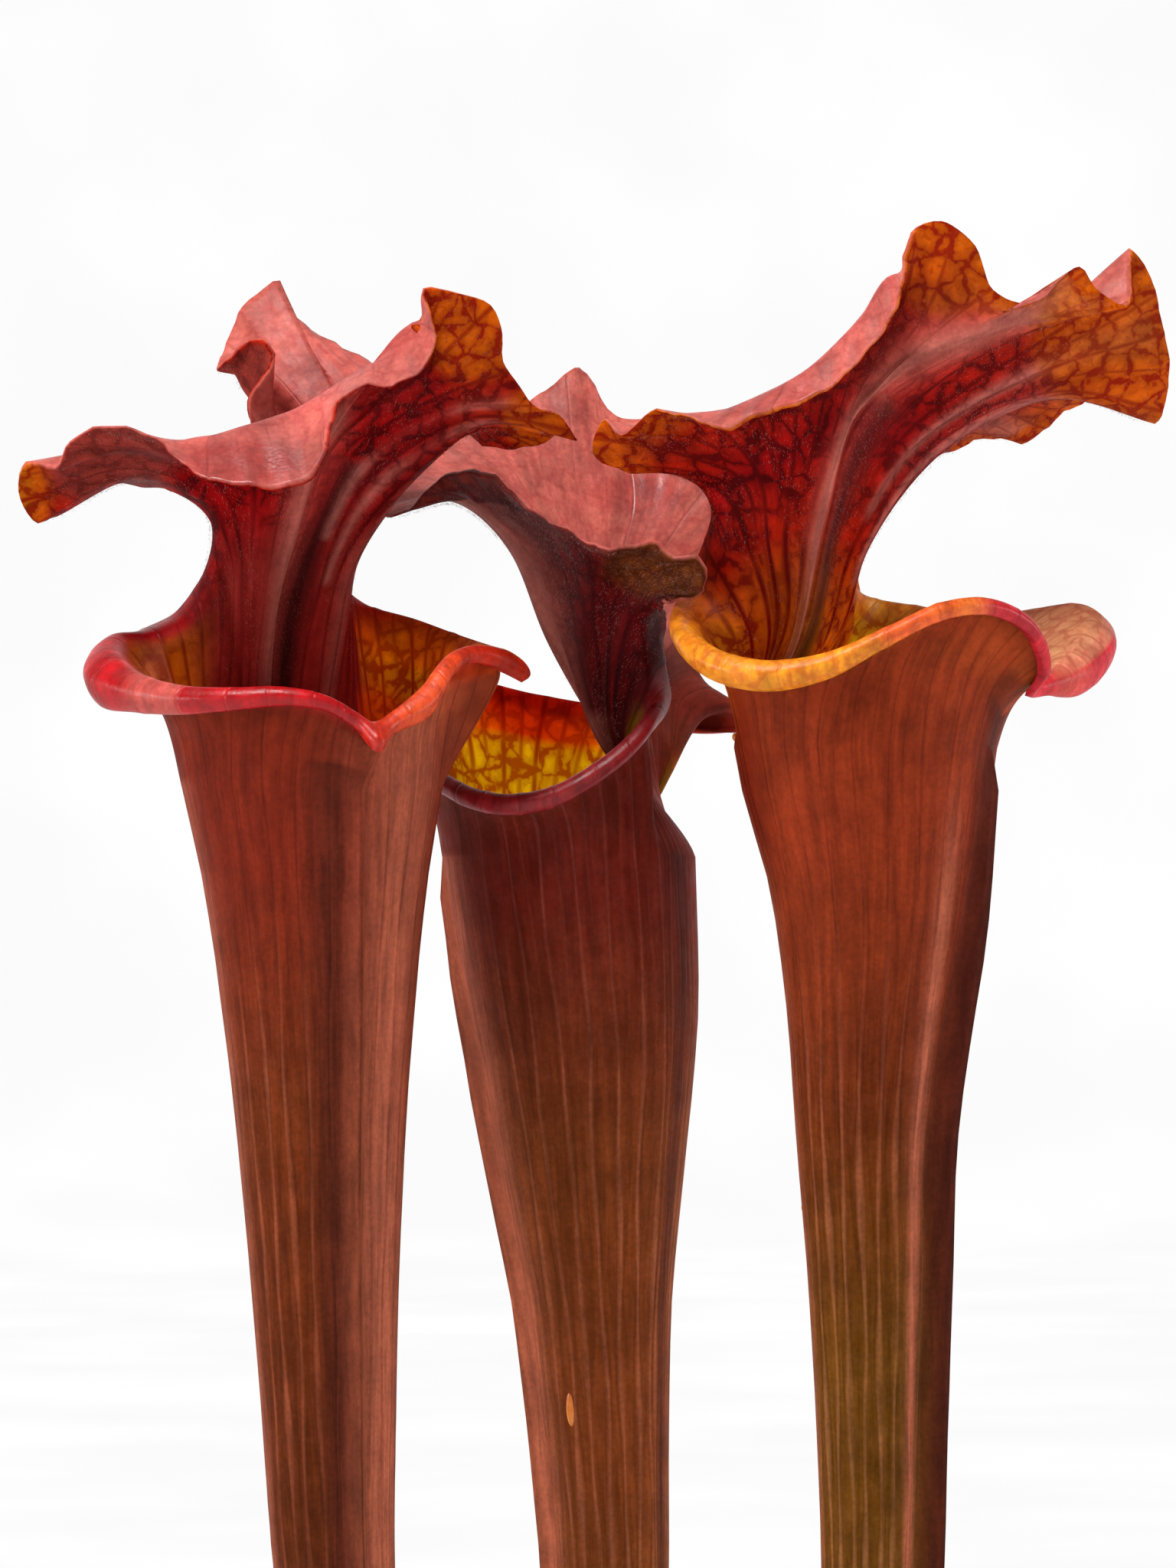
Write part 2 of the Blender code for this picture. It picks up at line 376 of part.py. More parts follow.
def tube_ring(leaf, degrees, z):
    """Points of the tube's wall at one height, with its shallow ribs."""
    table = np.array(leaf["tube"], float)
    index = np.interp(z, table[:, 0], np.arange(len(table)))
    cx, cy, radius = catmull(table[:, 1:], np.atleast_1d(index), False)[0]
    ribs = 1 + TUBE_RIB_SHARE * np.cos(np.radians(TUBE_RIBS * np.asarray(degrees, float)))
    return np.array([cx, cy, z]) + (radius * ribs)[..., None] * heading(degrees, leaf)


def lip_line(leaf, degrees, crest, roll):
    """A line up the wall, over the crest of the rolled lip and down under it."""
    out = heading(degrees, leaf)
    crest = np.array(crest, float)
    up = np.array([0.0, 0.0, 1.0])
    foot = tube_ring(leaf, degrees, leaf["throat"])
    wall = foot + (crest - foot) * np.array(LIP_WALL)
    centre = crest - roll * up
    rolled = [centre + roll * (math.sin(a) * out + math.cos(a) * up) for a in LIP_TURNS]
    return [wall, crest, *rolled]


def crown_lines(leaf):
    """For each line of the leaf: its angle at the tube, and its five points from throat to margin."""
    angles, points = [], []
    for angle, *rest in leaf["lines"]:
        angles.append(angle)
        points.append(lip_line(leaf, angle, *rest) if len(rest) == 2 else rest)
    return np.array(angles, float), np.array(points, float)


def placed(points, leaf):
    """Points of a leaf's table in the object's frame, still in millimetres."""
    points = np.array(points, float)
    points[..., 1] += leaf["depth"]
    points[..., ::2] *= 1 + points[..., 1:2] / VIEW_DISTANCE
    points[..., 2] += DATUM_HEIGHT
    return points


def leaf_foot(leaf):
    """The middle of the leaf's flat foot, in the object's frame."""
    height, x, y, _ = leaf["tube"][0]
    return placed([x, y, height], leaf)


def leaf_grid(leaf):
    """The leaf's middle surface, as rows of points from its foot to its margin."""
    angles, crown = crown_lines(leaf)
    even = np.arange(len(angles)) * 360 / len(angles)
    foot = leaf["tube"][0][0]
    tube = []
    for share in np.linspace(0, 1, TUBE_ROWS):
        degrees = even + (angles - even) * smooth_step(share)
        tube.append(tube_ring(leaf, degrees, foot + (leaf["throat"] - foot) * share))
    control = np.array(tube[-2:] + [crown[:, k] for k in range(crown.shape[1])])
    steps = [np.linspace(i + 1, i + 2, n, endpoint=False) for i, n in enumerate(CROWN_STEPS)]
    upper = catmull(control, np.append(np.concatenate(steps), len(control) - 1.0), False)
    return np.concatenate([np.array(tube[:-1]), upper])


def grid_normals(grid, leaf):
    """Unit normals of a grid that closes across its second direction, pointing out of the tube."""
    along = np.gradient(grid, axis=0)
    across = np.roll(grid, -1, axis=1) - np.roll(grid, 1, axis=1)
    normal = np.cross(along, across) * -leaf["turn"]
    return normal / np.linalg.norm(normal, axis=2, keepdims=True)


def leaf_shells(leaf):
    """The leaf's outer surface, with the wing down its front, and its inner one."""
    grid = leaf_grid(leaf)
    normals = grid_normals(grid, leaf)
    outer = grid + normals * SHEET / 2
    inner = grid - normals * SHEET / 2
    z = outer[:TUBE_ROWS, 0, 2]
    height = leaf["wing"] * smooth_step((z - WING_START) / (WING_FULL - WING_START))
    height *= 1 - WING_TOP_LOSS * smooth_step((z - leaf["throat"] + WING_TOP) / WING_TOP)
    outer[:TUBE_ROWS, 0] += height[:, None] * heading(0, leaf)
    outer, inner = placed(outer, leaf), placed(inner, leaf)
    outer[0, :, 2] = leaf_foot(leaf)[2]
    return outer, inner


def linked(name, mesh):
    """An object of this mesh in the model's collection."""
    obj = bpy.data.objects.new(name, mesh)
    bpy.data.collections["pitcher_plant"].objects.link(obj)
    return obj


def finish(obj):
    colour, roughness, metallic = FINISHES[obj.name]
    material = bpy.data.materials.new(obj.name)
    material.use_nodes = True
    shader = material.node_tree.nodes["Principled BSDF"]
    shader.inputs["Base Color"].default_value = (*colour, 1)
    shader.inputs["Roughness"].default_value = roughness
    shader.inputs["Metallic"].default_value = metallic
    obj.data.materials.clear()
    obj.data.materials.append(material)


def make_leaf(leaf):
    """A pitcher: two shells joined at the margin, each closed at the foot, split into triangles alike."""
    outer, inner = leaf_shells(leaf)
    shape = bmesh.new()
    shells = [[[shape.verts.new(p * MM) for p in row] for row in shell] for shell in (outer, inner[1:])]
    columns = outer.shape[1]

    def face(corners, flip):
        shape.faces.new(corners[::-1] if flip != (leaf["turn"] > 0) else corners)

    for flip, shell in enumerate(shells):
        face(shell[0], bool(flip))
        for low, high in zip(shell, shell[1:]):
            for c in range(columns):
                d = (c + 1) % columns
                face([low[c], high[d], low[d]], bool(flip))
                face([low[c], high[c], high[d]], bool(flip))
    for c in range(columns):
        d = (c + 1) % columns
        face([shells[0][-1][d], shells[0][-1][c], shells[1][-1][c], shells[1][-1][d]], False)
    mesh = bpy.data.meshes.new(leaf["name"])
    shape.to_mesh(mesh)
    shape.free()
    mesh.shade_smooth()
    finish(linked(leaf["name"], mesh))


def applied(obj):
    """The object with its modifiers made part of its mesh."""
    graph = bpy.context.evaluated_depsgraph_get()
    mesh = bpy.data.meshes.new_from_object(obj.evaluated_get(graph))
    obj.modifiers.clear()
    obj.data = mesh
    return obj


def combined(obj, others, operation):
    """The object joined with, or cut by, others that are then removed."""
    for other in others:
        boolean = obj.modifiers.new(operation.lower(), "BOOLEAN")
        boolean.operation = operation
        boolean.object = other
    applied(obj)
    for other in others:
        bpy.data.objects.remove(other)
    return obj


def turned(name, profile):
    """A closed solid turned round the z axis from its half section."""
    mesh = bpy.data.meshes.new(name)
    edges = [(i, i + 1) for i in range(len(profile) - 1)]
    mesh.from_pydata([(r * MM, 0, z * MM) for r, z in profile], edges, [])
    obj = linked(name, mesh)
    screw = obj.modifiers.new("turn", "SCREW")
    screw.steps = screw.render_steps = POT_SIDES
    screw.use_merge_vertices = True
    screw.merge_threshold = MERGE * MM
    return applied(obj)


def cone(name, at, top, foot_radius, top_radius, sides):
    """A round peg that stands on the point, as high as top."""
    shape = bmesh.new()
    height = (top - at[2]) * MM
    bmesh.ops.create_cone(shape, cap_ends=True, segments=sides, radius1=foot_radius * MM,
                          radius2=top_radius * MM, depth=height)
    mesh = bpy.data.meshes.new(name)
    shape.to_mesh(mesh)
    shape.free()
    obj = linked(name, mesh)
    obj.location = (at[0] * MM, at[1] * MM, at[2] * MM + height / 2)
    return obj


def rhizome(name, extra):
    """The crown that the leaves stand on, or the hollow for it in the peat when extra is a gap."""
    shape = bmesh.new()
    bmesh.ops.create_uvsphere(shape, u_segments=RHIZOME_SIDES, v_segments=RHIZOME_RINGS, radius=1)
    bmesh.ops.triangulate(shape, faces=shape.faces)
    for vertex in shape.verts:
        x, y, z = vertex.co
        lump = 1 + RHIZOME_LUMPS * (math.sin(5 * x + 3 * y) + math.sin(7 * y - 4 * z + 1))
        for axis in range(3):
            reach = RHIZOME_HALF[axis] * lump + extra
            vertex.co[axis] = (vertex.co[axis] * reach + RHIZOME_CENTRE[axis]) * MM
    mesh = bpy.data.meshes.new(name)
    shape.to_mesh(mesh)
    shape.free()
    bosses = []
    for leaf in LEAVES:
        x, y, top = leaf_foot(leaf)
        at = (x, y, RHIZOME_CENTRE[2] - BOSS_SINK - extra)
        radius = leaf["tube"][0][3] + BOSS_MARGIN + extra
        bosses.append(cone("boss", at, top - GAP + extra, BOSS_FOOT + extra, radius, BOSS_SIDES))
    return combined(linked(name, mesh), bosses, "UNION")


def clods(x, y):
    """How far the peat's loose top rises or falls at a place."""
    u, v = (2 * math.pi * value / CLOD_SPACING for value in (x, y))
    long_waves = math.sin(0.9 * u + 0.6) * math.sin(1.1 * v - 0.4)
    return CLOD_HEIGHT * (long_waves + 0.6 * math.sin(1.8 * u - 1.5 * v))


def make_soil():
    """The peat: it fills the pot up to a loose, uneven top, and the rhizome lies in it."""
    floor = POT_FLOOR + GAP
    low, *wall = [(r - SOIL_WALL_GAP, z) for r, z in POT_INSIDE[1:4]]
    top = [(r, SOIL_LEVEL) for r in (0, *SOIL_RINGS)]
    soil = turned("soil", top + wall[::-1] + [(low[0], floor), (0, floor)])
    for vertex in soil.data.vertices:
        if abs(vertex.co.z / MM - SOIL_LEVEL) < MERGE:
            vertex.co.z += clods(vertex.co.x / MM, vertex.co.y / MM) * MM
    combined(soil, [rhizome("hollow", GAP)], "DIFFERENCE")
    finish(soil)


def make_pot():
    pot = turned("pot", POT_INSIDE + POT_RIM + POT_OUTSIDE)
    top = POT_FLOOR + DRAIN_OVERRUN
    holes = []
    for i in range(DRAIN_HOLES):
        angle = 2 * math.pi * (i + 0.5) / DRAIN_HOLES
        at = (DRAIN_CIRCLE * math.cos(angle), DRAIN_CIRCLE * math.sin(angle), -DRAIN_OVERRUN)
        holes.append(cone("drain", at, top, DRAIN_RADIUS, DRAIN_RADIUS, DRAIN_SIDES))
    combined(pot, holes, "DIFFERENCE")
    finish(pot)


def main():
    for old in list(bpy.data.objects):
        bpy.data.objects.remove(old)
    collection = bpy.data.collections.new("pitcher_plant")
    bpy.context.scene.collection.children.link(collection)
    for leaf in LEAVES:
        make_leaf(leaf)
    finish(rhizome("rhizome", 0))
    make_soil()
    make_pot()


main()
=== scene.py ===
"""The looks of a potted yellow pitcher plant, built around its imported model.

Lengths are millimetres until a mesh is made, and metres in the scene. A leaf's table gives heights
from the crown datum, and each point's x and z as seen from VIEW_DISTANCE in front of it. Each leaf
is a grid that closes round the tube, with rows from its foot to its margin. The tables of the skins
and the leaves come last.
"""

import math

import bpy
import numpy as np
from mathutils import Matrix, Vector, noise


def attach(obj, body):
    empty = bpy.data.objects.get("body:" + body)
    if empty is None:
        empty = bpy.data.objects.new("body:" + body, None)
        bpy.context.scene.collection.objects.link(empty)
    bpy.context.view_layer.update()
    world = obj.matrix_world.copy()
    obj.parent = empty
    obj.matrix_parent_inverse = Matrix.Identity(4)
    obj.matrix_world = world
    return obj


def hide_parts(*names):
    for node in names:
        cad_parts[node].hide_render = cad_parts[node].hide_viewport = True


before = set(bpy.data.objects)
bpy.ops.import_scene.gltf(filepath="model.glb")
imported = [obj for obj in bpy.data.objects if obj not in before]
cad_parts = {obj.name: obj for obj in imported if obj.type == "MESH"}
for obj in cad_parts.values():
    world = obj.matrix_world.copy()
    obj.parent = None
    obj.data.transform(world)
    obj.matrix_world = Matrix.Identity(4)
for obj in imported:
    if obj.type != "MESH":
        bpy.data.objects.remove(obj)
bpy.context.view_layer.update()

MM = 0.001
SEED = 11
TINY = 1e-6

# Where the leaves' tables are taken from, and the photograph's view
DATUM_HEIGHT = 463.0
VIEW_DISTANCE = 1500.0
VIEW_HEIGHT = 300.0  # what the frame takes in at the plant

# The fine leaf: columns round it, rows up the tube, then rows between each pair of a line's points
COLUMNS = 386
TUBE_ROWS = 42
CROWN_STEPS = (14, 16, 12, 22, 18)

# The sheet's thickness, in the hood's margin too, and where it thins: the rise, which is the place
# along a line, and the reach that the change takes. Such a pair has RISE in its name, or FALL where
# it is an end and the reach before it.
SHEET, MARGIN_SHEET, SHEET_RISE = 1.0, 0.7, (2.0, 2.0)

# A rolled lip: how far its line goes from the throat to the crest, and its points round the roll
LIP_WALL = (0.32, 0.32, 0.6)
LIP_TURNS = (1.35, 2.7, 3.9)

# The wing down a tube's front: where it starts, is full and fades, and its half width
WING_START, WING_FULL = -328.0, -296.0
WING_TOP, WING_TOP_LOSS = 45.0, 0.5
WING_WIDTH, WING_POWER = 2.6, 1.3  # a higher power makes its sides more hollow

# The midrib up the inside of the column, the furrow beside it, and the pleats of the hood
RIB_HEIGHT, RIB_WIDTH = 0.9, 1.3
RIB_RISE, RIB_FALL = (-0.5, 1.0), (5.0, 1.0)
FURROW_DEPTH, FURROW_WIDTH, FURROW_PLACE = 0.6, 1.6, 1.7
PLEAT_HEIGHT, PLEAT_VEINS, PLEAT_SLANT, PLEAT_RISE = 0.35, 2.6, 0.12, (0.3, 0.8)
PLEAT_SPACING = 4  # mm between veins where the pleats have their full height

# Raised veins: degrees between them, their size, and how they sway (mm, length, turn per degree)
TUBE_VEINS, HOOD_VEINS = 15, 6
VEIN_HEIGHT, VEIN_WIDTH = 0.13, 0.45
MOST_SPACING = 40.0
VEIN_SWAY, MOST_SWAY = 0.3, 0.25
VEIN_WAVES = ((1.0, 13, 0.21), (0.6, 5.7, -0.37))

# The ripple of a hood's margin, as waves of a height, a rate and a shift
RIPPLE, RIPPLE_LENGTH, RIPPLE_RISE = 0.25, 7.0, (4.0, 1.0)
RIPPLE_WAVES = ((1.0, 1.0, 0.0), (0.7, 0.43, 1.0), (0.4, 2.3, 2.0))

# Hairs: how many on each leaf, their size, how they lie, where they grow, and how the crest draws
# them and the furrow sheds them
HAIRS, HAIR_RADIUS, HAIR_LENGTH = 13000, 0.022, (0.25, 0.7)
HAIR_OUT, HAIR_DOWN, HAIR_STRAY = 0.8, 0.7, 0.25
HAIR_RISE, HAIR_END = (0.4, 0.4), 4.97
HAIR_CREST, HAIR_CREST_SHARE = 4.0, 2.0
HAIR_FURROW, HAIR_FURROW_LOSS = 1.5, 0.9

# Where a skin gives way to the next: the lip's on the roll, the hood's outside and inside, the ends
# of a stripe and the edge of a dab
ROLL_RISE, HOOD_RISES = (1.3, 0.6), ((0.0, 1.5), (-0.3, 0.8))
STRIPE_END, DAB_EDGE = 0.1, 1.5
OUTER_GLOW = 0.35  # the power of the inside's colour that the outside gives to light let through
TONE, INK, MARKS, GLOSS = [0, 1, 2], [3, 4, 5], [6, 7, 8], [9]  # what a skin's numbers are

# The pot from its floor up the inside, over the rim and down the outside, and what cuts its holes
POT_PROFILE = [
    (54.6, 2.6), (55.5, 3.2), (73.8, 110), (74.2, 111), (76.6, 114.4), (77, 115.4), (77, 129),
    (77.2, 129.6), (77.7, 130), (79, 130), (79.7, 129.7), (80, 129), (80, 114.2), (79.7, 113.3),
    (79, 112.9), (76.8, 112.5), (76.3, 111.9), (58.5, 1.6), (58, 0.4), (57, 0),
]
POT_SIDES, POT_EDGE = 144, 35  # degrees between faces that meet in an edge
DRAIN_HOLES, DRAIN_CIRCLE, DRAIN_SIDES = 6, 38.0, 20
DRAIN_CUT = [(4.2, 6), (4.2, -3)]

# The peat's rings and its hidden sides, its clods as waves (a rate and a shift across and along,
# then a slanting one's share and rates), and its lumps by height and size
SOIL_LEVEL, SOIL_RADIUS, SOIL_MIDDLE = 116.5, 76.4, 0.8
SOIL_SIDES = [(73.3, 110), (55, 3)]
PEAT_RINGS, PEAT_SIDES = 56, 160
CLOD_HEIGHT, CLOD_SPACING = 1.1, 30.0
CLOD_ACROSS, CLOD_ALONG, CLOD_SLANT = (0.9, 0.6), (1.1, -0.4), (0.6, 1.8, 1.5)
PEAT_LUMPS = ((0.7, 3.1), (0.35, 1.3))

# Crumbs and fibres on the peat: how many, how far out, and their size
CRUMBS, CRUMB_REACH, CRUMB_LIFT, CRUMB_FLATNESS = 900, 74.0, 0.6, 0.35
CRUMB_LENGTH, CRUMB_WIDTH, CRUMB_BELLY = (1.5, 5.0), (0.15, 0.9), 1.3

# Moss: heads on the peat, and each head's branches
MOSS_HEADS, MOSS_REACH, MOSS_CLEAR, MOSS_SIZE = 640, 73.0, 4.0, (2.8, 5.6)
MOSS_BRANCHES, MOSS_LEAN, MOSS_TURN, MOSS_LENGTH = 14, 1.45, (-0.3, 0.3), (0.85, 1.15)
MOSS_START, MOSS_LIFT, MOSS_DROOP, MOSS_WIDTH, MOSS_BELLY = 0.3, 1.4, 0.8, 0.11, 1.5
GOLDEN_TURN = math.pi * (3 - math.sqrt(5))

# Scales round each leaf's foot: where each stands, its size, its place, its form, and its grid
SCALES, SCALE_TURN, SCALE_HEIGHT, SCALE_SPREAD = 7, (-0.2, 0.2), (9, 15), (0.5, 0.75)
SCALE_FOOT, SCALE_GAP, SCALE_LEAN, SCALE_SHEET = -7, 1.6, 1.5, 0.5
SCALE_TAPER, SCALE_TIP = 2.2, 0.02
SCALE_ROWS, SCALE_COLUMNS = 8, (-1, -0.5, 0, 0.5, 1)

# Spikes: how upright one may be before its side is measured from another axis, and its belly's place
UPRIGHT, BELLY_PLACE = 0.9, 0.45
THIRDS = (0, 2 * math.pi / 3, 4 * math.pi / 3)

# Beads on the tubes: the leaf, where it is seen (x, z), its half sizes, and the ball that they share
BEADS = [
    ("pitcher_middle", -3, -119, (1.2, 0.8, 4.0)),
    ("pitcher_right", 27.5, 9, (0.6, 0.6, 0.8)),
    ("pitcher_right", 41, -81, (0.6, 0.6, 0.9)),
]
BALL_RINGS, BALL_SIDES, BALL_END = 10, 14, 0.2
BEAD_STEPS, BEAD_DEPTH = 720, 2  # places tried round the tube, and how far behind its middle they may be

# A noise in a material is its scale, mostly per metre, its detail and its roughness if that isn't 0.55
NOISE_RANGE = (0.3, 0.7)  # where most of a noise's values lie

# The leaf's long veins in its material: half width, soft edge, and the swelling where they are strong.
# Finer ones come in where the veins are wide apart: how many, soft edge, the spacings, and strength
LINE_HALF, LINE_SOFT, LINE_SWELL = 0.05, 0.55, (0.5, 0.9, 0.8, 2.0)
LINE_NOISE, LINE_PATCHES = (70.0, 2.0), (0.35, 0.65, 0.6, 1.0)
FINER_LINES = ((2, 0.5, 4.0, 8.0, 0.8), (4, 0.4, 9.0, 15.0, 0.7))

# The nets of small veins: how they bend and swell, then the size of each one's cells, its veins' half
# width, soft edge and halo, and its strength. The slim net's cells are stretched along the leaf.
BEND_NOISE, BEND, EVEN_BEND = {"Scale": 260.0, "Detail": 2.0}, 5.0, 0.8
NET_NOISE, NET_SWELL, SLIM_RANDOM, EVEN_RANDOM = (330.0, 3.0, 0.6), (-0.35, 0.4), 0.9, 0.95
SLIM_LENGTH, SLIM_SOFT, SLIM_HALO, SLIM_SHARE = 7.0, 1.05, 2.2, 0.6
EVEN_SIZE, EVEN_HALF, EVEN_SOFT, EVEN_HALO = 5.2, 0.1, 0.9, 2.4
FINE_SIZE, FINE_HALF, FINE_SOFT, FINE_SHARE = 2.1, -0.1, 0.45, 0.5
WIDE_SPACING = (3.0, 6.0)  # mm between veins where the even net takes over

# The leaf's shading: the halo's and the blotches' strength, and how far each kind of mottling goes
HALO_SHARE, BLOTCH_NOISE, BLOTCH, BLOTCH_SHARE = 0.6, (75.0, 4.0, 0.65), (0.50, 0.66), 1.1
STREAK_NOISE, STREAK_RATE, STREAK_LENGTH, STREAKS = (1.0, 4.0, 0.65), 3.0, 26.0, (0.72, 1.24)
PATCH_NOISE, PATCHES, GRAIN_NOISE, GRAIN = (110.0, 4.0), (0.84, 1.14), (1100.0, 3.0), (0.86, 1.10)
ROUGH, ROUGH_LOSS, ROUGH_NOISE, ROUGH_SPREAD = 0.62, 0.62, (300.0, 2.0), (-0.07, 0.07)
SHINE, SHINE_GAIN, LET_THROUGH = 0.02, 0.6, 0.6
BUMP_LINES, BUMP_GRAIN, LEAF_BUMP, LEAF_BUMP_HEIGHT = 0.5, 0.5, 0.5, 0.0003

# Plain stuffs: detail and roughness of their noises, and how much finer the bump's is. Then each
# one's two colours, noise scale, roughness, and the bump's strength and height in metres.
STUFF_NOISE, STUFF_BUMP_NOISE, STUFF_BUMP_SCALE = (6.0, 0.65), (5.0, 0.7), 3
STUFFS = {
    "rhizome_bark": ((70, 40, 24), (128, 84, 52), 160.0, 0.8, 0.8, 0.001),
    "peat": ((30, 19, 12), (84, 57, 37), 260.0, 0.95, 1.0, 0.002),
    "hair": ((158, 104, 94), (198, 148, 138), 90.0, 0.6, 0.0, 0.001),
    "sap": ((176, 84, 14), (214, 120, 30), 200.0, 0.2, 0.0, 0.001),
    "pot_plastic": ((30, 30, 32), (44, 44, 46), 60.0, 0.5, 0.25, 0.0003),
    "moss": ((96, 112, 34), (176, 176, 84), 60.0, 0.85, 0.3, 0.0005),
    "dry_scale": ((104, 62, 36), (164, 112, 70), 120.0, 0.7, 0.5, 0.0005),
}

# The light from all round, by how far its direction points behind the plant, and the lamps: name,
# place in metres, watts and size
WORLD_RAMP = {"From Min": 0.35, "From Max": 0.65, "To Min": 0.25, "To Max": 1.0}
LAMPS = (
    ("over", (-0.3, -0.45, 1.6), 20, 0.6),
    ("left", (-1.4, -0.45, 0.7), 13, 0.6),
    ("right", (1.4, -0.3, 0.65), 11, 0.7),
)

# The paper's sizes, and the distances behind the plant and away from it where it lights itself, in
# metres, and how far the camera sees
STAGE_MIDDLE, STAGE_REACH, STAGE_TURN, STAGE_HEIGHT = 0.5, 7.0, 0.8, 1.6
STAGE_BENDS, STAGE_SIDES, CLIP_END = 12, 96, 20
PAPER_BEHIND, PAPER_AWAY, PAPER_NOISE, PAPER_GRAIN = (0.35, 1.1), (0.9, 2.0), (3.0, 2.0), (0.96, 1.0)


def linear(colour):
    """A screen colour, 0 to 255, as the light that it stands for."""
    value = np.array(colour, float) / 255
    return np.where(value <= 0.04045, value / 12.92, ((value + 0.055) / 1.055) ** 2.4)


def rising(value, start, reach):
    """0 up to the start, then a smooth rise to 1 over the reach."""
    x = np.clip((value - start) / reach, 0, 1)
    return x * x * (3 - 2 * x)


def falling(value, end, reach):
    """0 from the end on, and a smooth fall from 1 over the reach before it."""
    return rising(-value, -end, reach)


def bell(x):
    """1 in the middle, and less the further x is from 0 either way."""
    return np.exp(-(x**2))


def spline(points, t, closed):
    """Points on a curve through the rows of points, at the index values t, with knots by distance."""
    count = len(points)
    step = np.roll(points, -1, axis=0) - points
    knot = np.sqrt(np.maximum(np.linalg.norm(step, axis=-1, keepdims=True), TINY))
    slope = step / knot
    last_slope, last_knot = np.roll(slope, 1, axis=0), np.roll(knot, 1, axis=0)
    tangent = (slope * last_knot + last_slope * knot) / (knot + last_knot)
    base = np.floor(t).astype(int)
    if not closed:
        tangent[0], tangent[-1] = slope[0], slope[-2]
        base = np.clip(base, 0, count - 2)
    f = (t - base).reshape((-1,) + (1,) * (points.ndim - 1))
    i, j = base % count, (base + 1) % count
    return (
        points[i] * (1 + 2 * f) * (1 - f) ** 2
        + points[j] * (3 - 2 * f) * f**2
        + knot[i] * (tangent[i] * f * (1 - f) ** 2 - tangent[j] * f**2 * (1 - f))
    )


def heading(degrees, leaf):
    """The horizontal direction at an angle round the tube from its front."""
    angle = np.radians(leaf["front"] + leaf["turn"] * np.asarray(degrees, float))
    return np.stack([np.sin(angle), -np.cos(angle), np.zeros_like(angle)], axis=-1)


def tube_ring(leaf, degrees, z):
    """Points of the tube's wall at one height."""
    table = np.array(leaf["tube"], float)
    index = np.interp(z, table[:, 0], np.arange(len(table)))
    cx, cy, radius = spline(table[:, 1:], np.atleast_1d(index), False)[0]
    return np.array([cx, cy, z]) + radius * heading(degrees, leaf)


def lip_line(leaf, degrees, crest, roll):
    """A line up the wall, over the crest of the rolled lip and down under it."""
    out = heading(degrees, leaf)
    crest = np.array(crest, float)
    up = np.array([0.0, 0.0, 1.0])
    foot = tube_ring(leaf, degrees, leaf["throat"])
    wall = foot + (crest - foot) * np.array(LIP_WALL)
    centre = crest - roll * up
    rolled = [centre + roll * (math.sin(a) * out + math.cos(a) * up) for a in LIP_TURNS]
    return [wall, crest, *rolled]


def crown_lines(leaf):
    """For each line of the leaf: its angle at the tube, and its five points from throat to margin."""
    angles, points = [], []
    for angle, *rest in leaf["lines"]:
        angles.append(angle)
        points.append(lip_line(leaf, angle, *rest) if len(rest) == 2 else rest)
    return np.array(angles, float), np.array(points, float)


def placed(points, leaf):
    """Points of a leaf's table in the object's frame, still in millimetres."""
    points = np.array(points, float)
    points[..., 1] += leaf["depth"]
    points[..., ::2] *= 1 + points[..., 1:2] / VIEW_DISTANCE
    points[..., 2] += DATUM_HEIGHT
    return points


def step_length(points, axis):
    """The distance from each point to the next along an axis that closes."""
    return np.linalg.norm(np.roll(points, -1, axis=axis) - points, axis=-1)


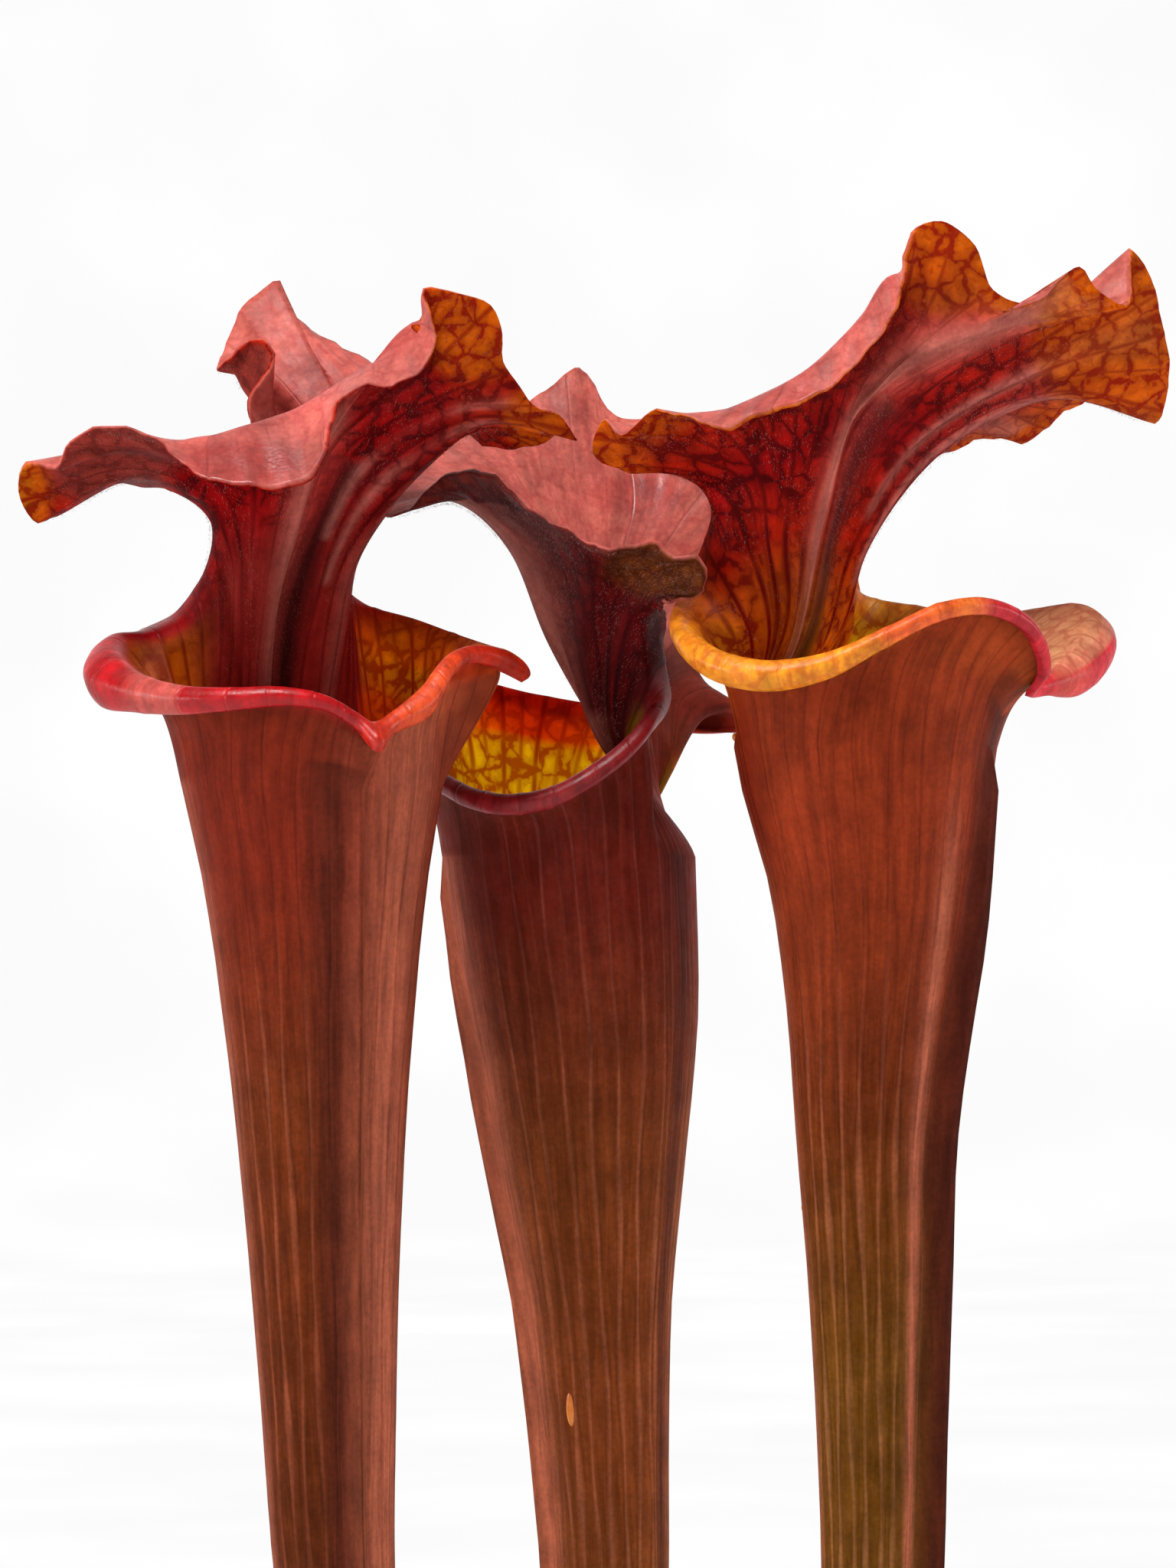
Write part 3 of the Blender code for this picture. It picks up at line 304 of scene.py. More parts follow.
class Grid:
    """A leaf's middle surface: points by row and column, and each one's place in the leaf.

    degrees is the angle round the tube, and rise is the place along a line: under 0 in the tube,
    0 at the throat and then the number of each point of the line, up to 5 at the margin.
    """

    def __init__(self, leaf):
        self.leaf = leaf
        angles, crown = crown_lines(leaf)
        widths = step_length(crown, 0).max(axis=1)
        parts = np.maximum(1, np.rint(widths * COLUMNS / widths.sum())).astype(int)
        t = np.concatenate([i + np.arange(n) / n for i, n in enumerate(parts)])
        self.columns = len(t)
        round_tube = np.interp(t, np.arange(len(angles) + 1), np.append(angles, angles[0] + 360))
        rows, degrees = self.tube_rows(t * 360 / len(angles), round_tube)
        upper, along = self.crown_rows(angles, crown, t)
        self.points = np.array(rows + upper)
        self.degrees = np.array(degrees + [round_tube] * len(along))
        tube_rise = np.linspace(-1, 0, TUBE_ROWS, endpoint=False)
        self.rise = np.append(tube_rise, along - 1)[:, None] + np.zeros_like(self.degrees)
        self.add_ripple()
        self.flow, self.degree_width, self.veins = self.vein_flow()
        self.midrib = np.interp(self.rise, *np.transpose(leaf["midrib"]))

    def tube_rows(self, even, round_tube):
        """Rows up the tube, with columns that are even at the foot and meet the lines at the throat."""
        foot, throat = self.leaf["tube"][0][0], self.leaf["throat"]
        rows, degrees = [], []
        for share in np.linspace(0, 1, TUBE_ROWS, endpoint=False):
            degrees.append(even + (round_tube - even) * rising(share, 0, 1))
            rows.append(tube_ring(self.leaf, degrees[-1], foot + (throat - foot) * share))
        return rows, degrees

    def crown_rows(self, angles, crown, t):
        """Rows from the throat to the margin, and each row's place along the lines' control points."""
        foot, throat = self.leaf["tube"][0][0], self.leaf["throat"]
        below = throat - (throat - foot) / TUBE_ROWS
        control = [tube_ring(self.leaf, angles, z) for z in (below, throat)]
        control = np.array(control + [crown[:, k] for k in range(crown.shape[1])])
        steps = [np.linspace(i + 1, i + 2, n, endpoint=False) for i, n in enumerate(CROWN_STEPS)]
        along = np.append(np.concatenate(steps), len(control) - 1.0)
        return [spline(row, t, True) for row in spline(control, along, False)], along

    def add_ripple(self):
        """Waves the margin of the hood, a little more the nearer it is."""
        turn = 2 * math.pi * np.cumsum(step_length(self.points[-1], 0)) / RIPPLE_LENGTH
        wave = sum(height * np.sin(rate * turn + shift) for height, rate, shift in RIPPLE_WAVES)
        reach = self.hood() * rising(self.rise, *RIPPLE_RISE)
        self.points = self.points + RIPPLE * (wave * reach)[..., None] * self.normals()

    def vein_flow(self):
        """Each point's vein count, way along the leaf and spacing of veins, and its mm per degree."""
        places = np.array([0, self.leaf["hood"][0], self.leaf["hood"][3], 360.0])
        apart = [TUBE_VEINS, HOOD_VEINS, TUBE_VEINS]
        counts = np.concatenate([[0], np.cumsum(np.rint(np.diff(places) / apart))])
        count = np.interp(self.degrees, places, counts)
        step = step_length(self.points, 1)
        ahead = (np.roll(count, -1, axis=1) - count) % counts[-1]
        spacing = np.minimum(step / np.maximum(ahead, TINY), MOST_SPACING)
        turned = (np.roll(self.degrees, -1, axis=1) - self.degrees) % 360
        rows = np.diff(self.points, axis=0, prepend=self.points[:1])
        run = np.cumsum(np.linalg.norm(rows, axis=2), axis=0)
        run -= run[TUBE_ROWS]
        wave = sum(size * np.sin(run / length + turn * self.degrees) for size, length, turn in VEIN_WAVES)
        count = count + np.clip(VEIN_SWAY * wave / spacing, -MOST_SWAY, MOST_SWAY)
        return (count, run, spacing), step / np.maximum(turned, TINY), counts[-1]

    def normals(self):
        """Unit normals that point out of the tube."""
        normal = np.cross(self.along(), self.across()) * -self.leaf["turn"]
        return normal / np.maximum(np.linalg.norm(normal, axis=2, keepdims=True), TINY)

    def along(self):
        """The way from row to row at each point."""
        return np.gradient(self.points, axis=0)

    def across(self):
        """The way from column to column at each point."""
        return (np.roll(self.points, -1, axis=1) - np.roll(self.points, 1, axis=1)) / 2

    def rib_distance(self):
        """How far each point lies from the midrib."""
        return (self.degrees - self.midrib) * self.degree_width

    def furrow_distance(self):
        """How far each point lies from the middle of the furrow beside the midrib, in its widths."""
        return (self.rib_distance() - FURROW_WIDTH * FURROW_PLACE) / FURROW_WIDTH

    def hood(self):
        """How far each point belongs to the column and the hood, and not to the tube's lip."""
        start, full, fading, end = self.leaf["hood"]
        return rising(self.degrees, start, full - start) * falling(self.degrees, end, end - fading)


def ladder(steps, at):
    """The skin at each place, from (place, name of a skin) pairs."""
    table = np.array([SKIN_VALUES[name] for _, name in steps])
    places = [place for place, _ in steps]
    return np.stack([np.interp(at, places, column) for column in table.T], axis=-1)


def skin_values():
    """Each skin as a row of numbers: its tone and its veins' colour as light, its marks and its gloss."""
    rows = {}
    for name, (tone, ink, *rest) in SKINS.items():
        rows[name] = np.concatenate([linear(tone), linear(ink), rest])
    return rows


def blended(first, second, share):
    """The first skin where the share is 0, and the second where it is 1."""
    return first * (1 - share[..., None]) + second * share[..., None]


def stripe_share(grid, middle, half, rises, strength):
    """How far a stripe up the leaf covers each point. A strength over 1 covers a wider band fully."""
    if middle is None:
        off = grid.degrees - grid.midrib
    else:
        off = (grid.degrees - middle + 180) % 360 - 180
    near = np.minimum(strength * bell(off / half), 1.0)
    return near * rising(grid.rise, rises[0], STRIPE_END) * falling(grid.rise, rises[1], STRIPE_END)


def dab_share(grid, middle, reach, angles, strength):
    """How far a dab, which is round as seen from the front, covers each point."""
    x, z = grid.points[..., 0], grid.points[..., 2]
    far = ((x - middle[0]) / reach[0]) ** 2 + ((z - middle[1]) / reach[1]) ** 2
    near = strength * falling(far, DAB_EDGE, 1)
    return near * ((grid.degrees >= angles[0]) & (grid.degrees <= angles[1]))


def painted(grid, side):
    """The skin of each point, side 0 being the outside and side 1 the inside."""
    leaf = grid.leaf
    tube = ladder(leaf[("outer", "inner")[side]], grid.points[..., 2])
    lip = ladder(leaf["lip"], grid.rise)
    leafy = ladder(leaf[("top", "under")[side]], grid.rise)
    skin = blended(tube, lip, rising(grid.rise, *ROLL_RISE))
    skin = blended(skin, leafy, grid.hood() * rising(grid.rise, *HOOD_RISES[side]))
    for where, *shape, name, strength in leaf["stripes"]:
        if where == side:
            skin = blended(skin, SKIN_VALUES[name], stripe_share(grid, *shape, strength))
    for where, *shape, name, strength in leaf["dabs"]:
        if where == side:
            skin = blended(skin, SKIN_VALUES[name], dab_share(grid, *shape, strength))
    return skin


def relief(grid, side):
    """How far each point of a side stands out of the sheet, beyond its thickness."""
    count, run, spacing = grid.flow
    off = (count + 0.5) % 1 - 0.5
    height = VEIN_HEIGHT * bell(off * spacing / VEIN_WIDTH)
    hood = grid.hood()
    if side == 0:
        return height * (1 - hood)
    rib = bell(grid.rib_distance() / RIB_WIDTH)
    fade = rising(grid.rise, *RIB_RISE) * falling(grid.rise, *RIB_FALL)
    pleat = np.cos(2 * math.pi * count / PLEAT_VEINS + PLEAT_SLANT * run)
    pleat = PLEAT_HEIGHT * (pleat * np.minimum(spacing / PLEAT_SPACING, 1))
    pleat = pleat * rising(grid.rise, *PLEAT_RISE) * (1 - rib)
    furrow = FURROW_DEPTH * bell(grid.furrow_distance())
    return height + hood * (fade * (RIB_HEIGHT * rib - furrow) + pleat)


def wing_height(grid, outer):
    """How far the wing down the tube's front lifts each point of the outside."""
    leaf, z = grid.leaf, outer[:, 0, 2]
    height = leaf["wing"] * rising(z, WING_START, WING_FULL - WING_START)
    height *= 1 - WING_TOP_LOSS * rising(z - leaf["throat"], -WING_TOP, WING_TOP)
    height *= grid.rise[:, 0] < 0
    aside = np.linalg.norm(outer - outer[:, :1], axis=2) / WING_WIDTH
    in_front = np.abs((grid.degrees + 180) % 360 - 180) < 90
    return height[:, None] * np.clip(1 - aside, 0, 1) ** WING_POWER * in_front


def leaf_sides(grid):
    """Points of the leaf's outside and inside, on either side of its middle surface."""
    normals = grid.normals()
    thinner = grid.hood() * rising(grid.rise, *SHEET_RISE)
    half = (SHEET + (MARGIN_SHEET - SHEET) * thinner)[..., None] / 2
    outer, inner = (
        grid.points + normals * out * (half + relief(grid, side)[..., None])
        for side, out in enumerate((1, -1))
    )
    return outer + wing_height(grid, outer)[..., None] * heading(0, grid.leaf), inner


def ring_faces(rows, columns):
    """Faces of a grid whose columns close round."""
    index = np.arange(rows * columns).reshape(rows, columns)
    after = np.roll(index, -1, axis=1)
    return np.stack([index[:-1], index[1:], after[1:], after[:-1]], axis=2).reshape(-1, 4)


def edge_faces(ring, behind):
    """Faces between a closed line of points and the same line on a sheet's other side."""
    after = np.roll(ring, -1)
    return np.stack([after, ring, ring + behind, after + behind], axis=1)


def leaf_faces(rows, columns, turn):
    """Faces of both sides, of the margin that joins them, and of the two caps at the foot."""
    outer, behind = ring_faces(rows, columns), rows * columns
    foot = np.arange(columns)
    rim = edge_faces(foot + behind - columns, behind)
    quads = np.concatenate([outer, outer[:, ::-1] + behind, rim])
    caps = np.stack([foot, foot[::-1] + behind])
    return quads[:, ::turn].tolist() + caps[:, ::turn].tolist()


def leaf_mesh(grid):
    """A pitcher's mesh: two sides joined at the margin and closed at the foot, with its paint."""
    leaf, columns = grid.leaf, grid.columns
    outer, inner = (placed(side, leaf).reshape(-1, 3) * MM for side in leaf_sides(grid))
    foot_height = outer[:columns, 2].mean()
    outer[:columns, 2] = foot_height
    inner[:columns, 2] = foot_height + SHEET * MM
    mesh = bpy.data.meshes.new(leaf["name"])
    faces = leaf_faces(len(grid.points), columns, leaf["turn"])
    mesh.from_pydata([*outer.tolist(), *inner.tolist()], [], faces)
    add_paint(mesh, grid)
    add_flow(mesh, grid)
    mesh.shade_smooth()
    return mesh


def fill(layer, kind, values):
    """Sets all values of a mesh's layer."""
    layer.data.foreach_set(kind, values.astype(np.float32).ravel())


def listed(items, name):
    """A whole number of each item, as an array."""
    values = np.empty(len(items), np.int32)
    items.foreach_get(name, values)
    return values


def add_paint(mesh, grid):
    """Gives each point its two colours, the light that it lets through, its veins and its gloss."""
    outer, inner = (np.concatenate(painted(grid, side)) for side in (0, 1))
    paint = np.concatenate([outer, inner])
    glow = inner[:, TONE + TONE[-1:]]  # a colour needs a fourth value, which isn't read
    colours = {
        "tone": paint[:, TONE + GLOSS],
        "ink": paint[:, INK + GLOSS],
        "glow": np.concatenate([glow**OUTER_GLOW, glow]),
    }
    for name, values in colours.items():
        fill(mesh.color_attributes.new(name, "FLOAT_COLOR", "POINT"), "color", values)
    fill(mesh.attributes.new("marks", "FLOAT_VECTOR", "POINT"), "vector", paint[:, MARKS])


def add_flow(mesh, grid):
    """Gives each corner of the leaf its vein count, its way along the leaf and the veins' spacing."""
    flow = np.stack(grid.flow, axis=-1).reshape(-1, 3)
    values = np.concatenate([flow, flow])[listed(mesh.loops, "vertex_index")]
    quads = listed(mesh.polygons, "loop_total") == 4
    block = listed(mesh.polygons, "loop_start")[quads][:, None] + np.arange(4)
    count = values[block, 0]
    over_seam = count.max(axis=1) - count.min(axis=1) > grid.veins / 2
    values[block, 0] = count + grid.veins * (over_seam[:, None] & (count < grid.veins / 2))
    fill(mesh.attributes.new("flow", "FLOAT_VECTOR", "CORNER"), "vector", values)


class Nodes:
    """A material or world whose nodes are added one call at a time."""

    def __init__(self, owner):
        self.owner = owner
        owner.use_nodes = True
        self.tree = owner.node_tree
        self.tree.nodes.clear()

    def add(self, kind, inputs=None, **settings):
        """The outputs of a new node of this kind, whose inputs are given as numbers or sockets."""
        node = self.tree.nodes.new("ShaderNode" + kind)
        for name, value in settings.items():
            setattr(node, name, value)
        for name, value in (inputs or {}).items():
            if isinstance(value, bpy.types.NodeSocket):
                self.tree.links.new(value, node.inputs[name])
            else:
                node.inputs[name].default_value = value
        return node.outputs

    def maths(self, operation, *values, clamp=False):
        return self.add("Math", dict(enumerate(values)), operation=operation, use_clamp=clamp)[0]

    def times(self, first, second):
        return self.maths("MULTIPLY", first, second)

    def over(self, first, second):
        return self.maths("DIVIDE", first, second)

    def plus(self, first, second):
        return self.maths("ADD", first, second)

    def most(self, first, second, clamp=False):
        return self.maths("MAXIMUM", first, second, clamp=clamp)

    def ramp(self, value, low, high, to_low=0.0, to_high=1.0):
        """The value taken smoothly from one range to another, and held at its ends."""
        inputs = {"Value": value, "From Min": low, "From Max": high, "To Min": to_low, "To Max": to_high}
        return self.add("MapRange", inputs, interpolation_type="SMOOTHSTEP")[0]

    def mix(self, factor, first, second, blend="MIX"):
        """Two colours mixed, by the node's colour sockets. One that is the same all over is (r, g, b)."""
        inputs = {0: factor}
        for socket, colour in ((6, first), (7, second)):
            inputs[socket] = (*colour, 1) if isinstance(colour, tuple) else colour
        return self.add("Mix", inputs, data_type="RGBA", blend_type=blend)[2]

    def mix_value(self, factor, first, second):
        return self.add("Mix", {0: factor, 2: first, 3: second}, data_type="FLOAT")[0]

    def vector(self, operation, first, second):
        """Two vectors put together, or a vector scaled by a number."""
        inputs = {0: first, "Scale" if operation == "SCALE" else 1: second}
        return self.add("VectorMath", inputs, operation=operation)[0]

    def split(self, vector):
        return self.add("SeparateXYZ", {0: vector})

    def joined(self, *parts):
        return self.add("CombineXYZ", dict(enumerate(parts)))[0]

    def attribute(self, name):
        return self.add("Attribute", attribute_name=name)

    def place(self):
        return self.add("TexCoord")["Object"]

    def noise(self, scale, detail=3.0, roughness=0.55, at=None):
        inputs = {"Vector": at or self.place(), "Scale": scale, "Detail": detail, "Roughness": roughness}
        return self.add("TexNoise", inputs)["Fac"]

    def spread(self, noise, low, high):
        """Noise whose usual values are spread from low to high."""
        return self.ramp(noise, *NOISE_RANGE, low, high)

    def cell_edges(self, place, randomness, dimensions):
        """The distance to the nearest edge of a net of cells, one to each unit."""
        inputs = {"Vector": place, "Scale": 1.0, "Randomness": randomness}
        cells = self.add("TexVoronoi", inputs, voronoi_dimensions=dimensions, feature="DISTANCE_TO_EDGE")
        return cells["Distance"]

    def near(self, distance, half, soft):
        """1 up to half a vein's width from its middle, and then a soft edge."""
        return self.ramp(distance, half, half + soft, 1.0, 0.0)

    def bump(self, height, strength, distance):
        return self.add("Bump", {"Height": height, "Strength": strength, "Distance": distance})[0]

    def finished(self, shader, output="OutputMaterial"):
        """The material or world, with this shader as what is seen."""
        self.add(output, {"Surface": shader})
        return self.owner


def new_nodes(name):
    return Nodes(bpy.data.materials.new(name))


def vein_lines(nodes, flow, parts, soft, swell):
    """Where a point is on a vein, with this many veins for each one counted in the leaf's flow."""
    share = nodes.maths("FRACT", nodes.times(flow[0], float(parts)))
    aside = nodes.maths("MINIMUM", share, nodes.maths("SUBTRACT", 1.0, share))
    distance = nodes.times(aside, nodes.over(flow[2], float(parts)))
    return nodes.near(nodes.over(distance, swell), LINE_HALF, soft)


def long_veins(nodes, flow, strength):
    """The counted veins, and all long veins: those where the noise lets them show, and finer ones."""
    patchy = nodes.ramp(nodes.noise(*LINE_NOISE), *LINE_PATCHES)
    swell = nodes.ramp(strength, *LINE_SWELL)
    lines = vein_lines(nodes, flow, 1, LINE_SOFT, swell)
    finer = []
    for parts, soft, apart, wide, share in FINER_LINES:
        veins = vein_lines(nodes, flow, parts, soft, swell)
        finer.append(nodes.times(veins, nodes.ramp(flow[2], apart, wide, 0.0, share)))
    return lines, nodes.most(nodes.times(lines, patchy), nodes.most(*finer))


def uneven(nodes, distance):
    """A distance to a vein, made less or more from place to place, so that the vein swells and fades."""
    return nodes.plus(distance, nodes.spread(nodes.noise(*NET_NOISE), *NET_SWELL))


def slim_net(nodes, flow, shift):
    """The distance to a net of small veins whose cells are stretched along the leaf."""
    u = nodes.plus(flow[0], nodes.over(shift[0], flow[2]))
    v = nodes.over(nodes.plus(flow[1], shift[1]), SLIM_LENGTH)
    distance = nodes.cell_edges(nodes.joined(u, v), SLIM_RANDOM, "2D")
    return uneven(nodes, nodes.times(distance, nodes.maths("MINIMUM", flow[2], SLIM_LENGTH)))


def even_net(nodes, bend, size):
    """The distance to a net of veins whose cells are of one size in space."""
    place = nodes.vector("SCALE", nodes.place(), 1 / MM / size)
    place = nodes.vector("ADD", place, nodes.vector("SCALE", bend, EVEN_BEND / size))
    return uneven(nodes, nodes.times(nodes.cell_edges(place, EVEN_RANDOM, "3D"), size))


def small_veins(nodes, flow):
    """The net of small veins, and the shade beside them."""
    bend = nodes.add("TexNoise", {"Vector": nodes.place(), **BEND_NOISE})["Color"]
    bend = nodes.vector("SUBTRACT", bend, (0.5, 0.5, 0.5))
    bend = nodes.vector("SCALE", bend, BEND)
    slim = slim_net(nodes, flow, nodes.split(bend))
    even = even_net(nodes, bend, EVEN_SIZE)
    fine = nodes.near(even_net(nodes, bend, FINE_SIZE), FINE_HALF, FINE_SOFT)
    wide = nodes.ramp(flow[2], *WIDE_SPACING)
    slim_veins = nodes.times(nodes.near(slim, 0.0, SLIM_SOFT), SLIM_SHARE)
    even_veins = nodes.most(nodes.near(even, EVEN_HALF, EVEN_SOFT), nodes.times(fine, FINE_SHARE))
    net = nodes.mix_value(wide, slim_veins, even_veins)
    slim_halo = nodes.times(nodes.near(slim, 0.0, SLIM_HALO), SLIM_SHARE)
    return net, nodes.mix_value(wide, slim_halo, nodes.near(even, 0.0, EVEN_HALO))


def mottled(nodes, colour, flow, fine):
    """The colour made lighter and darker by fine grain, broad patches and streaks along the leaf."""
    along = nodes.joined(nodes.times(flow[0], STREAK_RATE), nodes.over(flow[1], STREAK_LENGTH))
    streak = nodes.spread(nodes.noise(*STREAK_NOISE, at=along), *STREAKS)
    broad = nodes.spread(nodes.noise(*PATCH_NOISE), *PATCHES)
    shade = nodes.times(nodes.times(broad, nodes.spread(fine, *GRAIN)), streak)
    return nodes.mix(1.0, colour, nodes.joined(shade, shade, shade), "MULTIPLY")


def leaf_material():
    """Leaf skin: its painted tone, long veins along it, a net of small ones, and light through it."""
    nodes = new_nodes("leaf_skin")
    tone = nodes.attribute("tone")
    ink = nodes.attribute("ink")["Color"]
    glow = nodes.attribute("glow")["Color"]
    marks = nodes.split(nodes.attribute("marks")["Vector"])
    flow = nodes.split(nodes.attribute("flow")["Vector"])
    gloss = tone["Alpha"]

    lines, veins = long_veins(nodes, flow, marks[0])
    net, halo = small_veins(nodes, flow)
    inked = nodes.most(nodes.times(veins, marks[0]), nodes.times(net, marks[1]))
    shaded = nodes.times(nodes.times(halo, marks[1]), HALO_SHARE)
    blotch = nodes.ramp(nodes.noise(*BLOTCH_NOISE), *BLOTCH)
    blotch = nodes.times(blotch, nodes.times(gloss, BLOTCH_SHARE))
    cover = nodes.most(inked, nodes.most(shaded, blotch), clamp=True)
    fine = nodes.noise(*GRAIN_NOISE)
    colour = mottled(nodes, nodes.mix(cover, tone["Color"], ink), flow, fine)

    height = nodes.plus(nodes.times(lines, BUMP_LINES), nodes.times(fine, BUMP_GRAIN))
    normal = nodes.bump(height, LEAF_BUMP, LEAF_BUMP_HEIGHT)
    rough = nodes.maths("SUBTRACT", ROUGH, nodes.times(gloss, ROUGH_LOSS))
    rough = nodes.plus(rough, nodes.spread(nodes.noise(*ROUGH_NOISE), *ROUGH_SPREAD))
    shine = nodes.plus(SHINE, nodes.times(gloss, SHINE_GAIN))
    inputs = {"Base Color": colour, "Roughness": rough, "Normal": normal, "Specular IOR Level": shine}
    skin = nodes.add("BsdfPrincipled", inputs)[0]
    lit = nodes.mix(cover, glow, ink)
    through = nodes.add("BsdfTranslucent", {"Color": lit, "Normal": normal})[0]
    factor = nodes.times(marks[2], LET_THROUGH)
    return nodes.finished(nodes.add("MixShader", {0: factor, 1: skin, 2: through})[0])


def stock_material(name, low, high, scale, roughness, bump, distance):
    """A matt stuff that varies between two colours, with a rough surface."""
    nodes = new_nodes(name)
    broad = nodes.spread(nodes.noise(scale, *STUFF_NOISE), 0.0, 1.0)
    colour = nodes.mix(broad, tuple(linear(low)), tuple(linear(high)))
    rough = nodes.noise(scale * STUFF_BUMP_SCALE, *STUFF_BUMP_NOISE)
    normal = nodes.bump(rough, bump, distance)
    inputs = {"Base Color": colour, "Normal": normal, "Roughness": roughness}
    return nodes.finished(nodes.add("BsdfPrincipled", inputs)[0])


def new_object(name, data):
    """An object of this data, in the scene."""
    obj = bpy.data.objects.new(name, data)
    bpy.context.scene.collection.objects.link(obj)
    return obj


def new_piece(name, mesh, material, slot, *replaced):
    """An object of this mesh and material that moves with the plant and may stand for CAD nodes; slot is
    not used.
    """
    obj = new_object(name, mesh)
    mesh.materials.append(material)
    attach(obj, "root")
    if replaced:
        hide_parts(*replaced)
    return obj


def bare_mesh(name, points, faces):
    """A smooth mesh from points in millimetres."""
    mesh = bpy.data.meshes.new(name)
    mesh.from_pydata((np.asarray(points) * MM).tolist(), [], [tuple(map(int, face)) for face in faces])
    mesh.shade_smooth()
    return mesh


def make_leaves(material, hair, rng):
    """The three leaves and their hairs."""
    for leaf in LEAVES.values():
        name, grid = leaf["name"], Grid(leaf)
        new_piece("fine_" + name, leaf_mesh(grid), material, name, name)
        new_piece("hairs_" + name, hair_mesh(grid, rng), hair, name)


def rods(name, base, tip, width, belly=None):
    """A mesh of closed three-sided spikes, each from its base to its tip, with a belly if it has one."""
    way = tip - base
    way = way / np.linalg.norm(way, axis=1, keepdims=True)
    side = np.cross(way, np.where(np.abs(way[:, 2:]) < UPRIGHT, (0.0, 0.0, 1.0), (1.0, 0.0, 0.0)))
    side /= np.linalg.norm(side, axis=1, keepdims=True)
    other = np.cross(way, side)
    corners = []
    for share, reach in ((0, 1.0), (BELLY_PLACE, belly)) if belly else ((0, 1.0),):
        for angle in THIRDS:
            spoke = math.cos(angle) * side + math.sin(angle) * other
            corners.append(base + (tip - base) * share + spoke * (width * reach)[:, None])
    points = np.stack([*corners, tip], axis=1).reshape(-1, 3)
    one = [(2, 1, 0), (0, 1, 3), (1, 2, 3), (2, 0, 3)]
    if belly:
        one = [(2, 1, 0), (0, 1, 4, 3), (1, 2, 5, 4), (2, 0, 3, 5), (3, 4, 6), (4, 5, 6), (5, 3, 6)]
    each = len(corners) + 1
    faces = [[each * i + k for k in face] for i in range(len(base)) for face in one]
    return bare_mesh(name, points, faces)


def hair_mesh(grid, rng):
    """Short hairs that point down the underside of the hood, thickest on the pale crests."""
    along, across = grid.along(), grid.across()
    area = np.linalg.norm(np.cross(along, across), axis=2)
    crest = bell(grid.rib_distance() / HAIR_CREST)
    inside = grid.hood() * rising(grid.rise, *HAIR_RISE) * (grid.rise < HAIR_END)
    bald = HAIR_FURROW_LOSS * bell(grid.furrow_distance() / HAIR_FURROW)
    weight = (area * inside * (1 + HAIR_CREST_SHARE * crest) * (1 - bald)).ravel()
    picked = rng.choice(len(weight), HAIRS, p=weight / weight.sum())
    spot, normal, along, across = (
        values.reshape(-1, 3)[picked] for values in (grid.points, grid.normals(), along, across)
    )
    down = -along / np.linalg.norm(along, axis=1, keepdims=True)
    aside = rng.uniform(-0.5, 0.5, (2, HAIRS, 1))
    base = spot - normal * SHEET / 2 + aside[0] * across + aside[1] * along
    way = -HAIR_OUT * normal + HAIR_DOWN * down + rng.normal(0, HAIR_STRAY, (HAIRS, 3))
    way *= rng.uniform(*HAIR_LENGTH, (HAIRS, 1)) / np.linalg.norm(way, axis=1, keepdims=True)
    ends = [placed(points, grid.leaf) for points in (base, base + way)]
    return rods("hairs", *ends, np.full(HAIRS, HAIR_RADIUS))


def turned(profile, sides):
    """Points and faces of a closed shape turned about the upright axis, with flat ends."""
    angle = np.linspace(0, 2 * math.pi, sides, endpoint=False)
    profile = np.array(profile, float)
    radius, z = profile[:, :1], np.repeat(profile[:, 1:], sides, axis=1)
    points = np.stack([radius * np.cos(angle), radius * np.sin(angle), z], axis=2).reshape(-1, 3)
    start = np.arange(sides)
    end = start[::-1] + (len(profile) - 1) * sides
    return points, [*ring_faces(len(profile), sides).tolist(), start.tolist(), end.tolist()]


def make_pot(material):
    """The pot, turned from its profile, with drain holes cut through its floor."""
    pot = new_piece("fine_pot", bare_mesh("pot", *turned(POT_PROFILE, POT_SIDES)), material, "pot", "pot")
    points, faces = turned(DRAIN_CUT, DRAIN_SIDES)
    cutters = []
    for i in range(DRAIN_HOLES):
        angle = 2 * math.pi * (i + 0.5) / DRAIN_HOLES
        spot = np.array([DRAIN_CIRCLE * math.cos(angle), DRAIN_CIRCLE * math.sin(angle), 0])
        cutters.append(new_object("drain", bare_mesh("drain", points + spot, faces)))
        cut = pot.modifiers.new("drain", "BOOLEAN")
        cut.operation, cut.solver, cut.object = "DIFFERENCE", "EXACT", cutters[-1]
    bpy.context.view_layer.update()
    mesh = bpy.data.meshes.new_from_object(pot.evaluated_get(bpy.context.evaluated_depsgraph_get()))
    pot.modifiers.clear()
    pot.data = mesh
    mesh.set_sharp_from_angle(angle=math.radians(POT_EDGE))
    for cutter in cutters:
        bpy.data.objects.remove(cutter)


def peat_height(x, y):
    """The height of the peat's loose top at a place, with its clods."""
    u, v = (2 * math.pi * value / CLOD_SPACING for value in (x, y))
    waves = np.sin(CLOD_ACROSS[0] * u + CLOD_ACROSS[1]) * np.sin(CLOD_ALONG[0] * v + CLOD_ALONG[1])
    share, slant_u, slant_v = CLOD_SLANT
    return SOIL_LEVEL + CLOD_HEIGHT * (waves + share * np.sin(slant_u * u - slant_v * v))


def soil_places(count, reach, clear, rng):
    """Places scattered over the peat, at least this far from each leaf's foot."""
    radius, angle = reach * np.sqrt(rng.uniform(0, 1, count)), rng.uniform(0, 2 * math.pi, count)
    x, y = radius * np.cos(angle), radius * np.sin(angle)
    free = np.ones(count, bool)
    for leaf in LEAVES.values():
        at, foot_radius = leaf_foot(leaf)
        free &= np.hypot(x - at[0], y - at[1]) > foot_radius + clear
    return np.stack([x, y, peat_height(x, y)], axis=1)[free]


